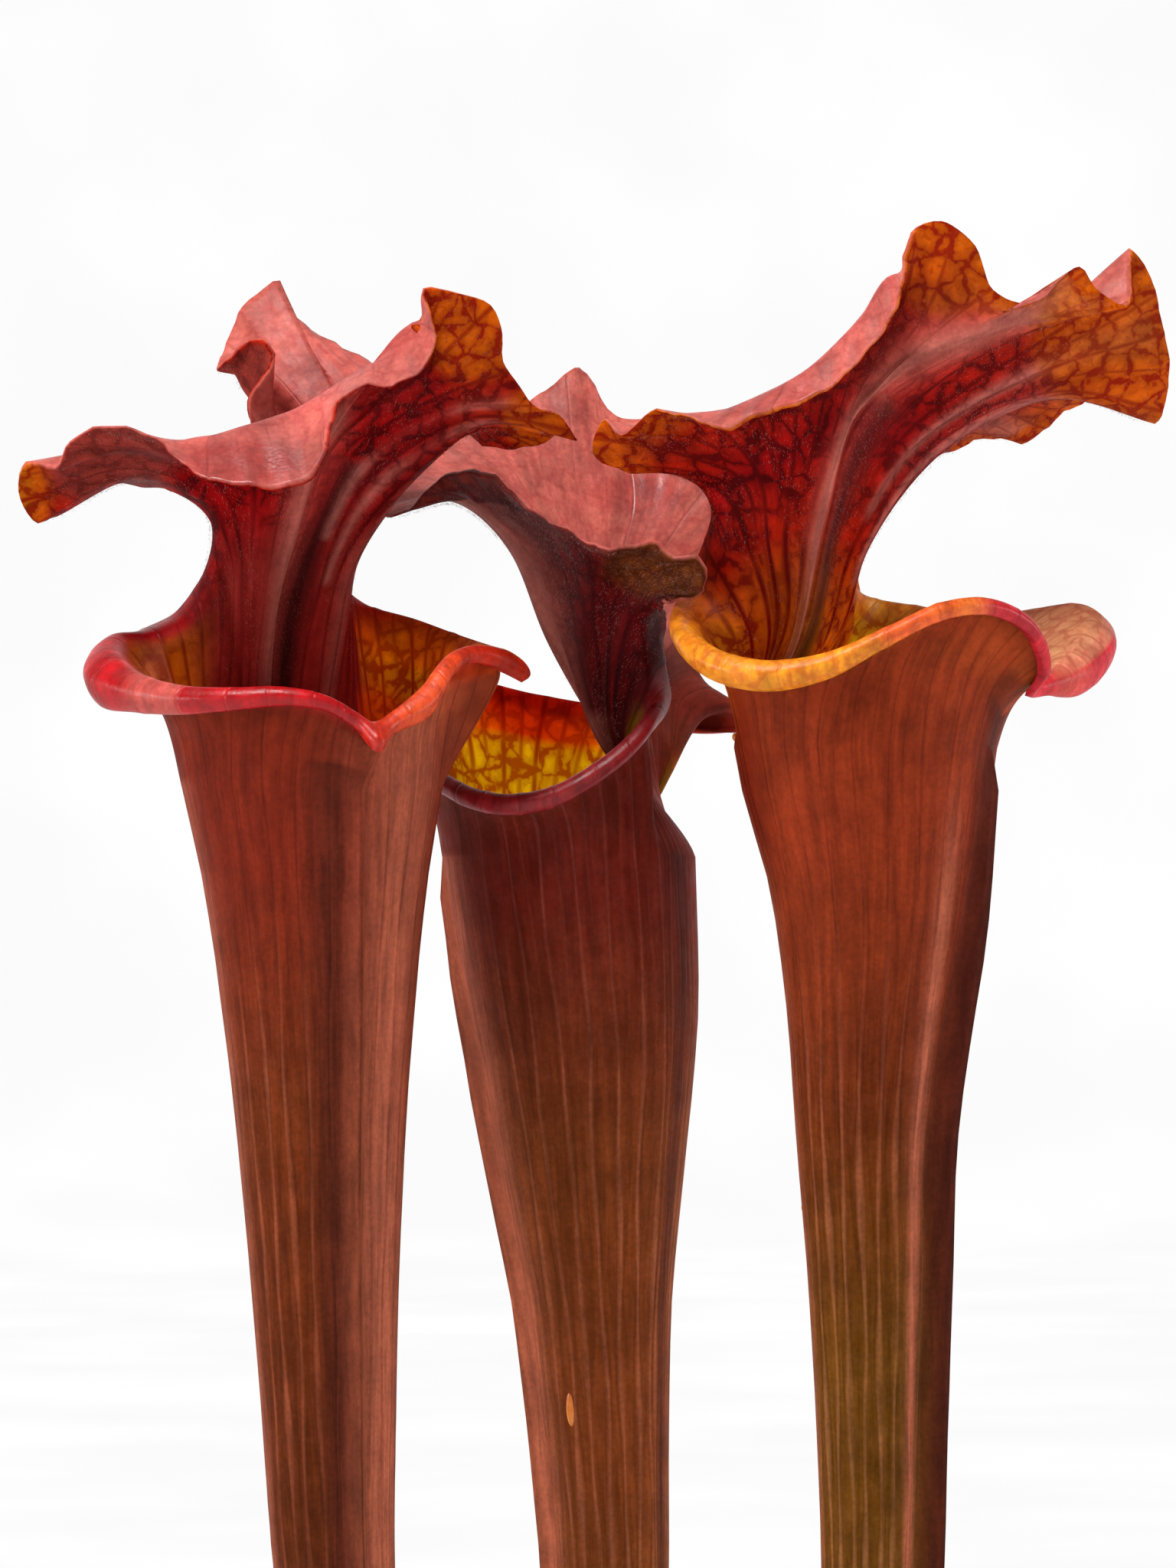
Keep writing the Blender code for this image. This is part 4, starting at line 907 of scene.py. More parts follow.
def leaf_foot(leaf):
    """Where a leaf's foot is, and its radius."""
    z, x, y, radius = leaf["tube"][0]
    return placed([x, y, z], leaf), radius


def make_peat(material, rng):
    """The peat's rough top and hidden sides, and the crumbs and fibres that lie on it."""
    rings = [(radius, SOIL_LEVEL) for radius in np.linspace(SOIL_MIDDLE, SOIL_RADIUS, PEAT_RINGS)]
    points, faces = turned(rings + SOIL_SIDES, PEAT_SIDES)
    for point in points[: PEAT_RINGS * PEAT_SIDES]:
        near = Vector(point)
        lumps = sum(height * noise.noise(near / size) for height, size in PEAT_LUMPS)
        point[2] = peat_height(point[0], point[1]) + lumps
    new_piece("fine_soil", bare_mesh("soil", points, faces), material, "soil", "soil")
    places = soil_places(CRUMBS, CRUMB_REACH, 0.0, rng)
    way = rng.normal(0, 1, places.shape) * (1, 1, CRUMB_FLATNESS)
    way *= rng.uniform(*CRUMB_LENGTH, (len(places), 1)) / np.linalg.norm(way, axis=1, keepdims=True)
    low = places + (0, 0, CRUMB_LIFT) - way / 2
    width = rng.uniform(*CRUMB_WIDTH, len(places))
    new_piece("peat_crumbs", rods("crumbs", low, low + way, width, CRUMB_BELLY), material, "soil")


def make_moss(material, rng):
    """Heads of bog moss on the peat: each a little dome of tapered branches."""
    base, tip, width = [], [], []
    for head in soil_places(MOSS_HEADS, MOSS_REACH, MOSS_CLEAR, rng):
        size = rng.uniform(*MOSS_SIZE)
        for i in range(MOSS_BRANCHES):
            lean = math.sqrt((i + 0.5) / MOSS_BRANCHES) * MOSS_LEAN
            angle = i * GOLDEN_TURN + rng.uniform(*MOSS_TURN)
            out, up = math.sin(lean), math.cos(lean)
            way = np.array([out * math.cos(angle), out * math.sin(angle), up])
            lift = (0, 0, MOSS_LIFT - MOSS_DROOP * lean)
            base.append(head + way * MOSS_START)
            tip.append(head + way * size * rng.uniform(*MOSS_LENGTH) + lift)
            width.append(size * MOSS_WIDTH)
    mesh = rods("moss", np.array(base), np.array(tip), np.array(width), MOSS_BELLY)
    new_piece("moss", mesh, material, "soil")


def scale_points(foot, radius, angle, tall, wide):
    """The outside of a pointed scale and then its inside, as rows up it."""
    points = []
    for skin in (0, SCALE_SHEET):
        for share in np.linspace(0, 1, SCALE_ROWS + 1):
            spread = wide * (1 - share**SCALE_TAPER) + SCALE_TIP
            out = radius + SCALE_GAP + SCALE_LEAN * share**2 - skin
            up = SCALE_FOOT + tall * share
            for column in SCALE_COLUMNS:
                turn = angle + column * spread
                points.append(foot + (out * math.cos(turn), out * math.sin(turn), up))
    return points


def sheet_faces(rows, columns):
    """Faces of a closed sheet: a grid of points, the same grid behind it, and their edge."""
    index, behind = np.arange(rows * columns).reshape(rows, columns), rows * columns
    corners = index[:-1, :-1], index[:-1, 1:], index[1:, 1:], index[1:, :-1]
    faces = []
    for face in np.stack(corners, axis=2).reshape(-1, 4):
        faces += [face, face[::-1] + behind]
    ring = np.array([*index[:, 0], *index[-1, 1:], *index[-2::-1, -1], *index[0, -2:0:-1]])
    return np.array([*faces, *edge_faces(ring, behind)])


def make_scales(material, rng):
    """Dry pointed scales round each leaf's foot."""
    points, faces = [], []
    one = sheet_faces(SCALE_ROWS + 1, len(SCALE_COLUMNS))
    for leaf in LEAVES.values():
        for i in range(SCALES):
            angle = 2 * math.pi * (i + rng.uniform(*SCALE_TURN)) / SCALES
            tall, wide = rng.uniform(*SCALE_HEIGHT), rng.uniform(*SCALE_SPREAD)
            faces += (one + len(points)).tolist()
            points += scale_points(*leaf_foot(leaf), angle, tall, wide)
    new_piece("scales", bare_mesh("scales", points, faces), material, "rhizome")


def make_beads(material):
    """The drop of sap and the small nubs on the tubes."""
    profile = [(math.sin(a), math.cos(a)) for a in np.linspace(BALL_END, math.pi - BALL_END, BALL_RINGS)]
    ball, faces = turned(profile, BALL_SIDES)
    for number, (name, x, z, half) in enumerate(BEADS):
        leaf = LEAVES[name]
        ring = tube_ring(leaf, np.linspace(0, 360, BEAD_STEPS), z)
        front = ring[ring[:, 1] < ring[:, 1].mean() + BEAD_DEPTH]
        spot = front[np.abs(front[:, 0] - x).argmin()]
        mesh = bare_mesh("bead", placed(spot + ball * half, leaf), faces)
        new_piece(f"bead_{number + 1}", mesh, material, name)


def stage_material():
    """White paper: lit by the lamps where the plant stands, and lit from behind further away."""
    nodes = new_nodes("white_paper")
    place = nodes.place()
    away = nodes.add("VectorMath", {0: place}, operation="LENGTH")["Value"]
    share = nodes.most(nodes.ramp(nodes.split(place)[1], *PAPER_BEHIND), nodes.ramp(away, *PAPER_AWAY))
    grain = nodes.spread(nodes.noise(*PAPER_NOISE), *PAPER_GRAIN)
    paper = nodes.joined(grain, grain, grain)
    matt = nodes.add("BsdfDiffuse", {"Color": paper})[0]
    glow = nodes.add("Emission", {"Color": paper, "Strength": 1.0})[0]
    return nodes.finished(nodes.add("MixShader", {0: share, 1: matt, 2: glow})[0])


def make_stage():
    """A round sheet of white paper under the plant, turned up far away all round."""
    profile = [(STAGE_MIDDLE, 0.0), (STAGE_REACH - STAGE_TURN, 0.0)]
    for angle in np.linspace(0, math.pi / 2, STAGE_BENDS)[1:]:
        across, up = math.sin(angle), 1 - math.cos(angle)
        profile.append((STAGE_REACH - STAGE_TURN * (1 - across), STAGE_TURN * up))
    profile.append((STAGE_REACH, STAGE_HEIGHT))
    points, faces = turned(profile, STAGE_SIDES)
    paper = new_object("paper", bare_mesh("paper", points / MM, faces[:-1]))
    paper.data.materials.append(stage_material())


def area_light(name, at, power, size):
    """A round lamp that points at the leaves' crowns, and that the camera doesn't see."""
    light = bpy.data.lights.new(name, "AREA")
    light.shape, light.size, light.energy = "DISK", size, power
    obj = new_object(name, light)
    obj.location = at
    way = Vector((0, 0, DATUM_HEIGHT * MM)) - Vector(at)
    obj.rotation_euler = way.to_track_quat("-Z", "Y").to_euler()
    obj.visible_camera = False


def make_lights():
    """Soft light from all round, stronger from behind the plant, and three lamps."""
    nodes = Nodes(bpy.data.worlds.new("studio"))
    behind = nodes.split(nodes.add("TexCoord")["Generated"])[1]
    strength = nodes.add("MapRange", {"Value": behind, **WORLD_RAMP})[0]
    light = nodes.add("Background", {"Color": (1, 1, 1, 1), "Strength": strength})[0]
    bpy.context.scene.world = nodes.finished(light, "OutputWorld")
    for lamp in LAMPS:
        area_light(*lamp)


def make_camera():
    """The photograph's view: level, and straight from the front."""
    camera = bpy.data.cameras.new("camera")
    camera.lens = camera.sensor_width * VIEW_DISTANCE / VIEW_HEIGHT
    camera.clip_end = CLIP_END
    obj = new_object("camera", camera)
    obj.location = (0, -VIEW_DISTANCE * MM, DATUM_HEIGHT * MM)
    obj.rotation_euler = (math.pi / 2, 0, 0)
    bpy.context.scene.camera = obj


def main():
    bpy.context.scene.view_settings.view_transform = "Standard"
    make_camera()
    make_stage()
    make_lights()
    rng = np.random.default_rng(SEED)
    stuffs = {name: stock_material(name, *numbers) for name, numbers in STUFFS.items()}
    make_leaves(leaf_material(), stuffs["hair"], rng)
    make_beads(stuffs["sap"])
    make_pot(stuffs["pot_plastic"])
    make_peat(stuffs["peat"], rng)
    make_moss(stuffs["moss"], rng)
    make_scales(stuffs["dry_scale"], rng)
    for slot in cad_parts["rhizome"].material_slots:
        slot.material = stuffs["rhizome_bark"]


# Finishes of the leaf's skin: its colour, the colour of its veins, then how strongly the long veins
# and the net of small ones show, how much light it lets through, and how glossy it is. A few of
# them are painted light: painted shade, painted shadow and painted sheen.
SKINS = {
    "green": ((84, 90, 20), (120, 84, 50), 0.6, 0.1, 0.05, 0.02),
    "olive": ((84, 48, 4), (138, 88, 52), 0.65, 0.15, 0.05, 0.02),
    "tawny": ((108, 50, 18), (150, 84, 56), 0.65, 0.15, 0.05, 0.02),
    "umber": ((88, 34, 8), (140, 72, 48), 0.65, 0.15, 0.05, 0.02),
    "brown": ((72, 28, 4), (128, 64, 42), 0.65, 0.15, 0.05, 0.02),
    "brick": ((110, 32, 15), (70, 10, 8), 0.4, 0.12, 0.15, 0.04),
    "rust": ((130, 46, 20), (78, 12, 8), 0.4, 0.15, 0.15, 0.04),
    "plum": ((98, 24, 14), (130, 62, 52), 0.55, 0.15, 0.05, 0.04),
    # painted sheen: a pale pink for the light on a tube's lit side and along its edges
    "dusk_pink": ((168, 90, 66), (112, 44, 30), 0.6, 0.1, 0.1, 0.04),
    "lilac": ((170, 98, 86), (120, 46, 44), 0.3, 0.15, 0.1, 0.02),
    # painted shadow: dark brown for the hollow beside a tube's wing and the fold behind a flange
    "wing_dark": ((70, 24, 14), (48, 14, 10), 0.3, 0.1, 0.02, 0.05),
    "gold": ((255, 204, 24), (172, 26, 8), 0.9, 0.85, 1.5, 0.15),
    "amber": ((252, 142, 22), (156, 14, 10), 1.0, 0.9, 1.5, 0.12),
    "deep": ((110, 34, 8), (70, 12, 8), 0.5, 0.7, 0.3, 0.05),
    "crimson": ((206, 16, 20), (78, 3, 9), 0.95, 0.85, 1.05, 0.1),
    "ember": ((222, 48, 14), (112, 6, 10), 1.0, 0.9, 1.05, 0.1),
    "flame": ((255, 144, 16), (172, 12, 14), 0.95, 0.9, 1.2, 0.08),
    "rosy": ((172, 46, 40), (92, 8, 12), 0.6, 0.35, 0.75, 0.08),
    "wine": ((100, 10, 12), (36, 2, 5), 0.8, 0.65, 0.4, 0.06),
    "bark": ((140, 54, 46), (66, 12, 12), 0.6, 0.55, 0.3, 0.06),
    "salmon": ((172, 66, 62), (126, 14, 22), 0.6, 0.5, 0.2, 0.3),
    "rose": ((190, 98, 86), (146, 36, 40), 0.45, 0.4, 0.25, 0.28),
    "blood": ((140, 14, 22), (84, 4, 12), 0.4, 0.2, 0.2, 0.8),
    "lip_red": ((178, 10, 18), (112, 3, 8), 0.3, 0.25, 0.2, 0.45),
    "coral": ((212, 44, 56), (150, 12, 22), 0.5, 0.4, 0.45, 0.4),
    "lip_gold": ((244, 164, 34), (196, 72, 20), 0.35, 0.55, 0.5, 0.4),
    "lip_orange": ((232, 92, 40), (176, 36, 22), 0.3, 0.45, 0.4, 0.4),
    "fire": ((255, 84, 18), (160, 8, 6), 0.8, 0.6, 1.4, 0.15),
    "lip_maroon": ((154, 34, 38), (104, 8, 14), 0.4, 0.3, 0.15, 0.4),
    "olive_lobe": ((110, 54, 14), (62, 14, 6), 0.7, 0.7, 0.4, 0.06),
    "lit_wall": ((140, 36, 12), (70, 10, 8), 0.6, 0.25, 1.45, 0.15),
    "flap": ((255, 216, 164), (192, 46, 40), 0.6, 0.5, 1.3, 0.25),
    "ridge": ((196, 116, 104), (90, 14, 16), 0.6, 0.4, 0.5, 0.05),
    "shade": ((44, 6, 8), (24, 2, 4), 0.4, 0.2, 0.05, 0.05),
}

SKIN_VALUES = skin_values()

# A leaf's table. It faces "front" degrees to the right of the viewer, its angles run round it by
# "turn" from there, and it stands "depth" behind the pot's middle. "tube" gives heights, centres
# (x, y) and radii. "lines" go up the crown from the "throat", each with its angle and either a rolled
# lip's crest and radius or five points up to the margin. "wing" is how far the front wing stands out.
#
# "hood" gives the angles where the hood starts, is full, fades and ends, and "midrib" its angle by
# rise. "outer" and "inner" give the tube's skins by height, and "lip", "under" and "top" by rise.
# A stripe is its side (0 outside, 1 inside), angle (None on the midrib), half width in degrees, rises,
# skin and strength. A dab is its side, middle (x, z), reach (x, z), angles, skin and strength.
LEFT_LINES = [
    (0, (-41.3, -22.8, 5), (-41.2, -25, 11.3), (-40.6, -28, 10.3), (-40.1, -30, 8), (-40.2, -28.8, 6.3)),
    (9, (-44.5, -26, 13.3), 1.1),
    (24, (-50, -27.5, 16.4), 1),
    (40, (-58, -28, 18.1), 1.4),
    (58, (-68, -26.5, 18), 1.8),
    (76, (-77.5, -22, 18.4), 2.4),
    (94, (-86, -15, 20.8), 3.4),
    (110, (-91, -7, 25), 5),
    (124, (-90, 1, 28.3), 4),
    (134, (-80, 3, 20), (-83, 4, 28.5), (-85, 9, 29.2), (-86, 13, 27.8), (-84, 15, 25.5)),
    (142, (-76, 5, 24), (-77, 5, 31), (-78.2, 9, 32.7), (-78.6, 13, 32.2), (-76.5, 16, 31)),
    (148, (-72.5, 7, 26), (-72.6, 5.5, 36), (-73.2, 8, 39), (-73.2, 12, 40), (-70.5, 15, 39.5)),
    (152, (-70.5, 8, 28), (-70.6, 5, 41), (-71.5, 5, 48), (-72.3, 9, 52), (-69.8, 13, 52)),
    (154, (-69.3, 8, 29), (-69.9, 4.5, 43), (-73, 2, 53), (-83, 2, 58), (-92, 7, 58)),
    (156, (-68.5, 7.8, 29.5), (-68.8, 3.8, 44), (-73, -1, 54.5), (-87, -5, 59), (-105.3, -6, 50)),
    (158, (-68, 7.6, 29.8), (-68.3, 3.4, 44.5), (-73, -3, 56), (-89, -8.5, 61), (-109, -9, 56)),
    (160, (-67.5, 7.4, 30), (-67.8, 3, 45), (-72.5, -4.5, 57), (-90, -11, 63.5), (-107.5, -12, 61.3)),
    (162, (-67, 7.2, 30.2), (-67.2, 2.6, 45.4), (-71.5, -5.5, 57.5), (-89, -13, 64), (-102, -16, 60.5)),
    (163.5, (-66.5, 7, 30.4), (-66.6, 2.3, 45.7), (-70.5, -6.3, 58), (-86, -14.5, 64.5), (-99, -18, 65.5)),
    (165, (-66, 7, 30.5), (-66, 2, 46), (-69, -7, 58.5), (-82, -15.5, 64.5), (-91.5, -21, 68.4)),
    (166.5, (-65.5, 7, 30.7), (-65.2, 1.7, 46.3), (-67.5, -7.6, 59), (-78.5, -16, 64.8), (-84, -23, 66.6)),
    (168, (-65, 7, 30.8), (-64.5, 1.4, 46.6), (-66, -8, 59.5), (-75, -16, 66), (-78, -25, 61.5)),
    (169.5, (-64.7, 7, 31), (-64, 1.2, 46.8), (-64.5, -8.3, 59.8), (-71.5, -15, 66.5), (-72.5, -27, 58.2)),
    (171, (-64.4, 7.1, 31), (-63.4, 1, 47), (-62.5, -8.5, 60.2), (-66.5, -13.5, 68), (-65, -28, 57)),
    (172.5, (-64, 7.3, 31), (-62.4, 1, 47.2), (-60.5, -8.5, 60.6), (-61.5, -12, 69.5), (-57.5, -27.5, 57)),
    (174, (-63.3, 7.6, 31), (-61.2, 1, 47.5), (-58.5, -8.5, 61), (-56, -10.5, 71.5), (-52.3, -26, 59.3)),
    (175.2, (-62.7, 8, 31), (-60, 1.2, 48), (-56.5, -8.3, 61.5), (-51.5, -9.5, 74), (-50.3, -24, 65)),
    (176.4, (-62.2, 8.4, 31), (-59, 1.4, 48), (-55, -8, 62), (-47.5, -9, 76.5), (-48.7, -22, 71.5)),
    (177.6, (-61.7, 8.9, 31), (-58.2, 1.6, 48), (-54, -7.8, 62.5), (-43.5, -9, 79), (-43.5, -20, 76)),
    (178.8, (-61.3, 9.4, 31), (-57.5, 2, 48), (-53, -7.5, 63), (-39, -9, 81.5), (-37.5, -18.5, 76.2)),
    (180, (-61.1, 9.8, 31), (-57, 2.3, 48), (-52, -7, 63.5), (-35.5, -8.5, 85), (-31.5, -16, 79.3)),
    (181, (-60.9, 10.2, 31), (-56.6, 2.6, 48), (-51, -6.6, 64), (-33.5, -8, 88), (-29.2, -14, 86)),
    (182, (-60.7, 10.6, 31), (-56.2, 2.9, 48), (-50.3, -6.3, 64.3), (-32, -7.5, 87), (-31, -11.5, 94.6)),
    (183, (-60.5, 11, 31), (-55.9, 3.2, 48), (-49.6, -6, 64.5), (-31, -7.5, 83), (-25, -9.5, 93.9)),
    (184, (-60.2, 11.5, 31), (-55.6, 3.6, 48), (-49, -5.8, 64.6), (-30, -7.5, 80), (-18.5, -8, 91.5)),
    (185, (-59.8, 12.2, 30.5), (-55, 5, 48), (-47.5, -4, 64.2), (-29, -7, 77.5), (-16.4, -7, 86)),
    (186.5, (-58.5, 14, 30.5), (-53.5, 7, 47.5), (-45.5, -2, 63.5), (-27.5, -6, 75.5), (-16.3, -6.5, 81)),
    (188, (-57, 14.6, 30.2), (-52, 7.6, 47), (-43.8, -0.5, 62.5), (-26, -5, 73.5), (-13, -5, 76)),
    (190, (-55.5, 15, 30), (-50.5, 7.8, 46.5), (-42, 0, 61.5), (-24.5, -4, 72), (-10.5, -4, 72.5)),
    (192, (-54.2, 15.2, 29.7), (-49.3, 8, 46), (-40.5, 0.6, 60.5), (-23, -3, 71), (-5.5, -3, 70.6)),
    (194, (-53, 15.4, 29.5), (-48.2, 8.4, 45.5), (-39, 1.2, 59.5), (-21.5, -1.5, 70), (-2.2, -2, 65.5)),
    (196, (-51.8, 15.7, 29.2), (-47.3, 9, 45), (-37.8, 2.2, 58.5), (-20.5, 0.5, 69), (-5, 1, 67.5)),
    (198, (-50.6, 16.1, 29), (-46.4, 9.7, 44.5), (-36.8, 3.6, 57.5), (-20, 3, 68.2), (-8, 5, 65.5)),
    (200, (-49.6, 16.6, 29), (-45.7, 10.6, 44), (-36, 5.4, 57), (-20.5, 5.5, 68), (-14, 9, 64)),
    (202, (-48.7, 17.1, 29), (-45.2, 11.6, 43.5), (-35.5, 7.5, 56.5), (-22, 9, 67.5), (-21, 16, 65.5)),
    (204, (-48, 17.7, 29), (-45, 12.7, 43), (-35.5, 9.8, 56.5), (-25, 13, 67), (-26, 25, 70)),
    (206, (-47.4, 18.3, 29), (-44.8, 13.8, 42.5), (-36, 12, 56), (-29, 17, 67.5), (-33, 33, 76)),
    (208, (-47, 18.8, 29), (-44.8, 15, 42), (-37, 14.2, 56), (-34, 21, 69), (-41, 38, 80)),
    (210, (-46.7, 19.3, 29), (-44.9, 16.2, 41.5), (-38.5, 16.2, 55.5), (-39, 24, 71), (-50, 41, 85)),
    (212, (-46.5, 19.8, 29), (-45, 17.3, 41), (-40, 18, 55), (-44, 26, 72), (-58, 43, 89.8)),
    (213, (-46.4, 20, 29), (-45.1, 17.9, 40.9), (-41, 18.9, 54.7), (-47, 27.2, 72.6), (-60, 43.5, 90.5)),
    (213.6, (-46.3, 20.2, 29), (-45.2, 18.2, 40.8), (-41.6, 19.3, 54.5),
     (-48.5, 27.5, 72.8), (-58.9, 44, 96.4)),
    (214.4, (-46.2, 20.4, 29), (-45.3, 18.6, 40.7), (-42.3, 19.8, 54.2), (-50, 28, 73), (-62, 43.5, 94.6)),
    (215.5, (-46.2, 20.7, 29), (-45.4, 19.2, 40.5), (-43.4, 20.8, 54), (-53.5, 29, 74.5), (-66, 42.5, 91)),
    (216.6, (-46.1, 21, 29), (-45.6, 19.8, 40.3), (-44.5, 21.4, 53.5), (-59, 31, 76.5), (-69.6, 39, 83)),
    (217.8, (-46, 21.3, 29), (-45.7, 20.4, 40), (-45.6, 22, 53), (-66, 34, 77.5), (-70.8, 31, 79.6)),
    (219, (-46, 21.5, 29), (-45.9, 20.8, 39.8), (-46.4, 22.6, 52.5), (-66.5, 32, 76.6), (-66, 25, 84)),
    (220.5, (-45.9, 21.8, 29), (-46, 21.3, 39.5), (-47, 23.1, 51.6), (-63, 29, 75), (-62, 24, 85)),
    (222, (-45.8, 22.1, 28.8), (-46.1, 21.8, 39.2), (-47.5, 23.6, 50.5), (-60, 28, 71), (-60.2, 24, 80.5)),
    (223.5, (-45.6, 22.4, 28.6), (-46.2, 22.2, 38.7), (-47.8, 24, 49), (-59.5, 27, 65), (-64.6, 23, 74.5)),
    (225, (-45.4, 22.8, 28.2), (-46.1, 22.7, 38), (-48, 24.6, 46.8), (-56.5, 27, 58.5), (-64.4, 24, 68.6)),
    (227, (-45.1, 23.2, 27.8), (-45.9, 23.4, 37), (-48, 25.4, 44), (-52.5, 27.5, 51.5), (-58, 27.5, 60)),
    (232, (-44.2, 24, 26.5), (-45.3, 25.5, 34.5), (-48, 28.5, 38.5), (-49.5, 31.5, 38), (-48, 33, 35.5)),
    (240, (-41, 28.5, 33.2), 1.8),
    (254, (-34, 27.5, 31.3), 1.6),
    (270, (-26, 21, 28.4), 1.5),
    (286, (-19.5, 10, 26.2), 1.4),
    (298, (-17.5, 1, 20), (-17, 1, 25.3), (-12.8, 2, 23.3), (-11.5, 2.2, 21), (-13, 2, 19.8)),
    (308, (-21.5, -6.5, 26.1), 1.3),
    (322, (-26.5, -13.5, 24.3), 1.5),
    (336, (-31.5, -19.5, 18.2), 2.6),
    (350, (-37.3, -24, 13.4), 1.6),
]

LEFT_STRIPES = [
    # painted sheen on the tube's lit side and edges, then painted shadow beside its wing
    (0, 325, 34, (-0.95, 1.4), "dusk_pink", 0.9),
    (0, 105, 14, (-0.95, 0.2), "dusk_pink", 0.5),
    (0, 14, 12, (-0.95, 0.6), "wing_dark", 0.75),
    (0, 240, 60, (-0.25, 1.5), "lit_wall", 0.9),
    (0, 125, 20, (-0.1, 1.5), "lit_wall", 0.7),
    (0, 336, 20, (1.6, 5.1), "lip_orange", 0.8),
    (1, 336, 20, (1.2, 5.1), "lip_orange", 0.8),
    (0, 268, 30, (1.2, 5.1), "fire", 0.9),
    (1, 268, 30, (1.2, 5.1), "fire", 0.9),
    (1, 188, 3.5, (0, 3), "shade", 0.9),
    (1, None, 4, (0.2, 4), "lilac", 0.85),
    (1, 190, 1.2, (2, 4.9), "ridge", 0.7),
    (1, 195, 1.5, (1.5, 4.9), "ridge", 0.75),
    (1, 204, 4, (0.5, 3.5), "ridge", 0.5),
    (1, 222, 8, (3.5, 5), "bark", 0.9),
]

LEFT_DABS = [
    (1, (-28, 24), (13, 9), (226, 300), "gold", 0.35),
    (1, (-42, 12), (9, 6), (226, 300), "fire", 0.5),
    (0, (-66, 61), (12, 4.5), (150, 200), "blood", 0.5),
    (1, (-92, 62), (13, 9), (150, 170), "bark", 0.9),
    (1, (-108, 55), (5, 8), (150, 170), "flame", 0.9),
    (1, (-109, 56), (3, 6), (150, 170), "gold", 0.5),
    (1, (-22, 88), (11, 10), (172, 200), "flame", 0.9),
    (1, (-9, 70), (7, 6), (176, 225), "flame", 0.8),
    (1, (-36, 72), (10, 10), (176, 200), "crimson", 0.8),
    # painted highlight: a paler rose patch on the inside of the lip's left part
    (1, (-78, 18), (10, 9), (76, 134), "rose", 0.6),
]

LEFT_LEAF = {
    "name": "pitcher_left",
    "front": 22,
    "turn": -1,
    "depth": 0,
    "throat": -1,
    "wing": 4,
    "hood": (134, 152, 226, 240),
    "midrib": [(0, 180), (5, 180)],
    "outer": [
        (-338, "green"), (-240, "olive"), (-150, "brown"), (-60, "umber"), (-15, "brick"), (10, "brick"),
    ],
    "inner": [(-200, "deep"), (-40, "deep"), (-8, "ember"), (14, "amber"), (30, "amber")],
    "lip": [(1.5, "lip_red"), (5, "lip_red")],
    "under": [(0, "rosy"), (1.6, "rosy"), (2.6, "crimson"), (3.4, "crimson"), (4.2, "ember"), (5, "ember")],
    "top": [(0, "brick"), (1, "crimson"), (2, "blood"), (3, "salmon"), (5, "rose")],
    "tube": [
        (-338, -11, 6, 5.4), (-326, -12.3, 6, 4.7), (-308, -16, 5, 5.1), (-270, -26, 4, 6.6),
        (-230, -37, 2, 8.2), (-190, -44.5, 1, 9.8), (-150, -48.6, 0, 11.1), (-120, -49.6, 0, 12.4),
        (-90, -50.5, 0, 14), (-60, -51.2, 0, 16.2), (-30, -51.9, 0, 19.35), (-15, -52.3, 0, 21.6),
        (0, -52.8, 0, 24.5), (8, -53, 0, 25.4),
    ],
    "lines": LEFT_LINES,
    "stripes": LEFT_STRIPES,
    "dabs": LEFT_DABS,
}

